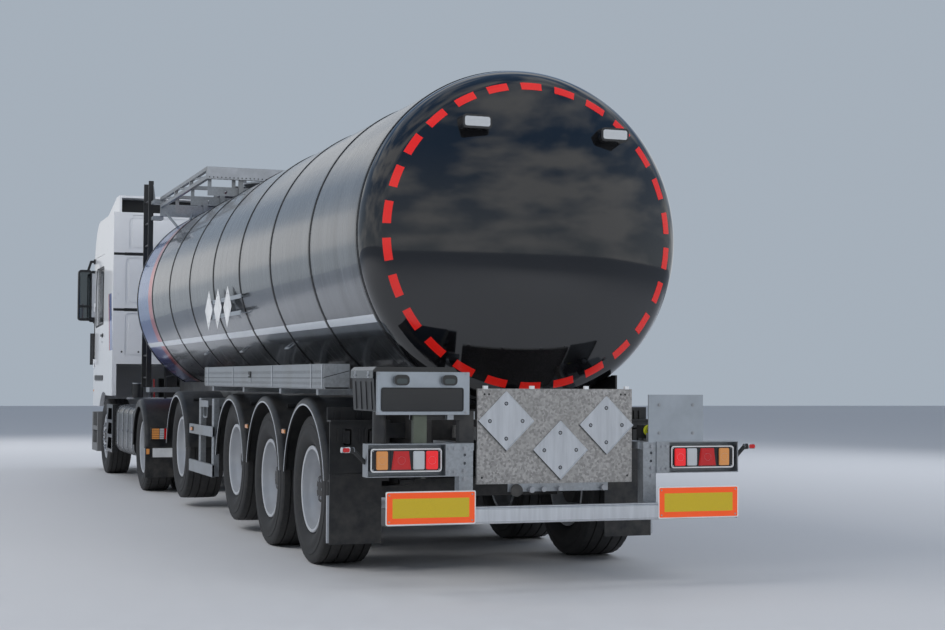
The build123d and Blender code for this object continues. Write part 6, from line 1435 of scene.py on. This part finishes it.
# Pierced board at the platform's rear
fittings.use("lip").box(between(7.9925, 7.9945), (-0.796, 0.796), (3.434, 3.558))
fittings.use("hose_black")
for k in range(36):
    fittings.stud(between(7.9920, 7.9930), -0.77 + 0.044 * k, 3.449, 0.0075, 8)
# Handles low on the tank's sides: shift along the tank and reach off its skin
fittings.use("steel")
handle = ((-0.07, -0.003), (-0.07, 0.045), (0.07, 0.045), (0.07, -0.003))
handle_angle = math.radians(127)
for station in (3.60, 5.40, 7.20):
    for side in (-1, 1):
        route = []
        for shift, reach in handle:
            r = tank_radius + reach
            y, z = r * math.sin(handle_angle), r * math.cos(handle_angle)
            route.append((at(station) + shift, side * y, tank_axis_z + z))
        for start, end in zip(route, route[1:]):
            fittings.rod(start, end, 0.008, 10)
fittings.done("box_fittings", "trailer", slot="galvanised")

lid_parts = Piece("hose_black")
# Dark edge on the lid's rear end, then the latch on its outer side
lid_end = ((1.2352, 1.3015), (1.2352, 1.3065), (1.062, 1.352), (1.062, 1.347))
lid_parts.prism(lid_end, *between(1.2394, 1.2410), "X")
lid_parts.prism(rounded(about(at(3.596), 0.045), (1.302, 1.352), 0.010), 1.2385, 1.2420)
lid_parts.use("steel").stud(about(at(3.596), 0.030), 1.244, 1.320, 0.006, 12)
slots_and_straps(lid_parts, (1.330, 1.352), (1.303, 1.390))
lid_parts.done("hose_lid_fittings", "hose_box_lid", slot="galvanised")

catches = Piece("steel")
for x in between(0.300, 0.590):
    catches.box(about(x, 0.018), (1.1945, 1.2040), (1.302, 1.345))
    catches.stud(about(x, 0.014), 1.205, 1.318, 0.005, 10)
catches.done("tool_lid_catches", "tool_box_lid", slot="galvanised")

# Pipes, filter and cables between the cab and the tank, and bright straps on the dark fuel tanks

lines = Piece("hose_black")
gap_x = at(12.400)
bend = (gap_x - 0.04, 0.52, 1.30)
lines.rod((gap_x - 0.04, 0.52, 0.94), bend, 0.016, 14).rod(bend, (gap_x + 0.02, 0.30, 1.36), 0.016, 14)
for k, finish in enumerate(("hose_red", "hose_black", "steel")):
    y = 0.66 + 0.035 * k
    lines.use(finish).rod((gap_x - 0.05, y, 0.90), (gap_x + 0.03, y, 1.28), 0.008, 10)
lines.use("lip")
for y, z in (((0.42, 1.02), (1.015, 1.040)), ((0.72, 0.76), (0.930, 1.016))):
    lines.box((gap_x - 0.04, gap_x - 0.01), y, z)
# Filter and its lid: finish, heights and radius
for finish, low, high, radius in (("plastic", 1.04, 1.22, 0.075), ("steel", 1.218, 1.232, 0.079)):
    lines.use(finish).rod((gap_x - 0.02, 0.88, low), (gap_x - 0.02, 0.88, high), radius, 28)
for side, stations in ((1, (10.570, 11.000, 11.430, 11.860)), (-1, (10.600, 11.300))):
    band = rounded(mirrored(side, 0.563, 1.197), (0.343, 0.957), 0.117)
    for station in stations:
        lines.prism(band, *about(at(station), 0.0255), "X")
        lines.rod((at(station), side * 1.196, 0.640), (at(station), side * 1.206, 0.640), 0.012, 14)
lines.done("cab_gap_lines", "tractor", slot="chassis_black", bevel=0.0006)

# Floor, light and camera

floor_mesh = bpy.data.meshes.new("floor")
reach = 60
corners = [(x * reach, y * reach, ground_z) for x, y in ((-1, -1), (1, -1), (1, 1), (-1, 1))]
floor_mesh.from_pydata(corners, [], [(0, 1, 2, 3)])
floor = bpy.data.objects.new("floor", floor_mesh)
bpy.context.scene.collection.objects.link(floor)
floor_mesh.materials.append(plain("floor_pale", (0.56, 0.56, 0.57), 0.75, spread=0.02))

world = bpy.data.worlds.new("studio")
bpy.context.scene.world = world
world.use_nodes = True
sky = Nodes(world, "Background", "Generated")
clouds = sky.span(sky.noise(2.2, detail=5, scale=(1.0, 1.0, 3.5)), 0.42, 0.62)
ramp = sky.add("ShaderNodeValToRGB", {"Fac": sky.axis("Z")})
for element, place, tone in zip(
    ramp.color_ramp.elements, (0.0, 0.6), ((0.50, 0.56, 0.62, 1), (0.13, 0.24, 0.42, 1))
):
    element.position = place
    element.color = tone
sky.set(Color=sky.mix(clouds, ramp.outputs["Color"], (0.86, 0.88, 0.90)), Strength=0.8)
# The camera itself sees a plain backdrop
backdrop = sky.add("ShaderNodeBackground", {"Color": (0.42, 0.48, 0.55), "Strength": 0.9})
path = sky.add("ShaderNodeLightPath")
choice = sky.add("ShaderNodeMixShader", {"Fac": path.outputs["Is Camera Ray"]})
sky.feed(choice.inputs[1], sky.shader.outputs["Background"])
sky.feed(choice.inputs[2], backdrop.outputs["Background"])
sky.feed(sky.tree.nodes["World Output"].inputs["Surface"], choice.outputs["Shader"])
bpy.context.scene.view_settings.view_transform = "Standard"

# Area lights: place, target, size, power and colour
white_light = (1, 1, 1)
for name, place, target, size, power, color in (
    ("key", (-4, 13, 12), (-1, 0, 1.5), (14, 7), 1500, (1.0, 0.98, 0.95)),
    ("rear", (-18, -4, 9), (-6, 0, 1.5), (8, 5), 600, white_light),
    ("fill", (4, -14, 8), (0, 0, 1.5), (14, 6), 700, (0.93, 0.96, 1.0)),
    ("front", (17, 3, 8), (6, 0, 1.5), (8, 5), 600, white_light),
):
    light = bpy.data.lights.new(name, "AREA")
    light.shape = "RECTANGLE"
    light.size, light.size_y = size
    light.energy = power
    light.color = color
    lamp = bpy.data.objects.new(name, light)
    bpy.context.scene.collection.objects.link(lamp)
    lamp.visible_glossy = False
    lamp.location = place
    lamp.rotation_euler = (Vector(target) - Vector(place)).to_track_quat("-Z", "Y").to_euler()

# Camera solved from the photograph: place, directions and focal length in pixels of a 945 pixel frame
photo_width = 945
sensor_width = 36.0
camera_focal_pixels = 1621.09
camera_place = (-9.2112 - half_length, 3.9359, ground_z + 1.2925)
camera_yaw = -0.3439
camera_pitch = 0.0401
camera_roll = 0.0055
camera_data = bpy.data.cameras.new("camera")
camera_data.sensor_width = sensor_width
camera_data.lens = camera_focal_pixels * sensor_width / photo_width
camera_data.clip_end = 200
camera = bpy.data.objects.new("camera", camera_data)
bpy.context.scene.collection.objects.link(camera)
forward = Vector((
    math.cos(camera_yaw) * math.cos(camera_pitch),
    math.sin(camera_yaw) * math.cos(camera_pitch),
    math.sin(camera_pitch),
))
right = forward.cross(Vector((0, 0, 1))).normalized()
up = right.cross(forward)
rolled_right = math.cos(camera_roll) * right + math.sin(camera_roll) * up
rolled_up = -math.sin(camera_roll) * right + math.cos(camera_roll) * up
axes = Matrix((rolled_right, rolled_up, -forward)).transposed().to_4x4()
camera.matrix_world = Matrix.Translation(camera_place) @ axes
bpy.context.scene.camera = camera
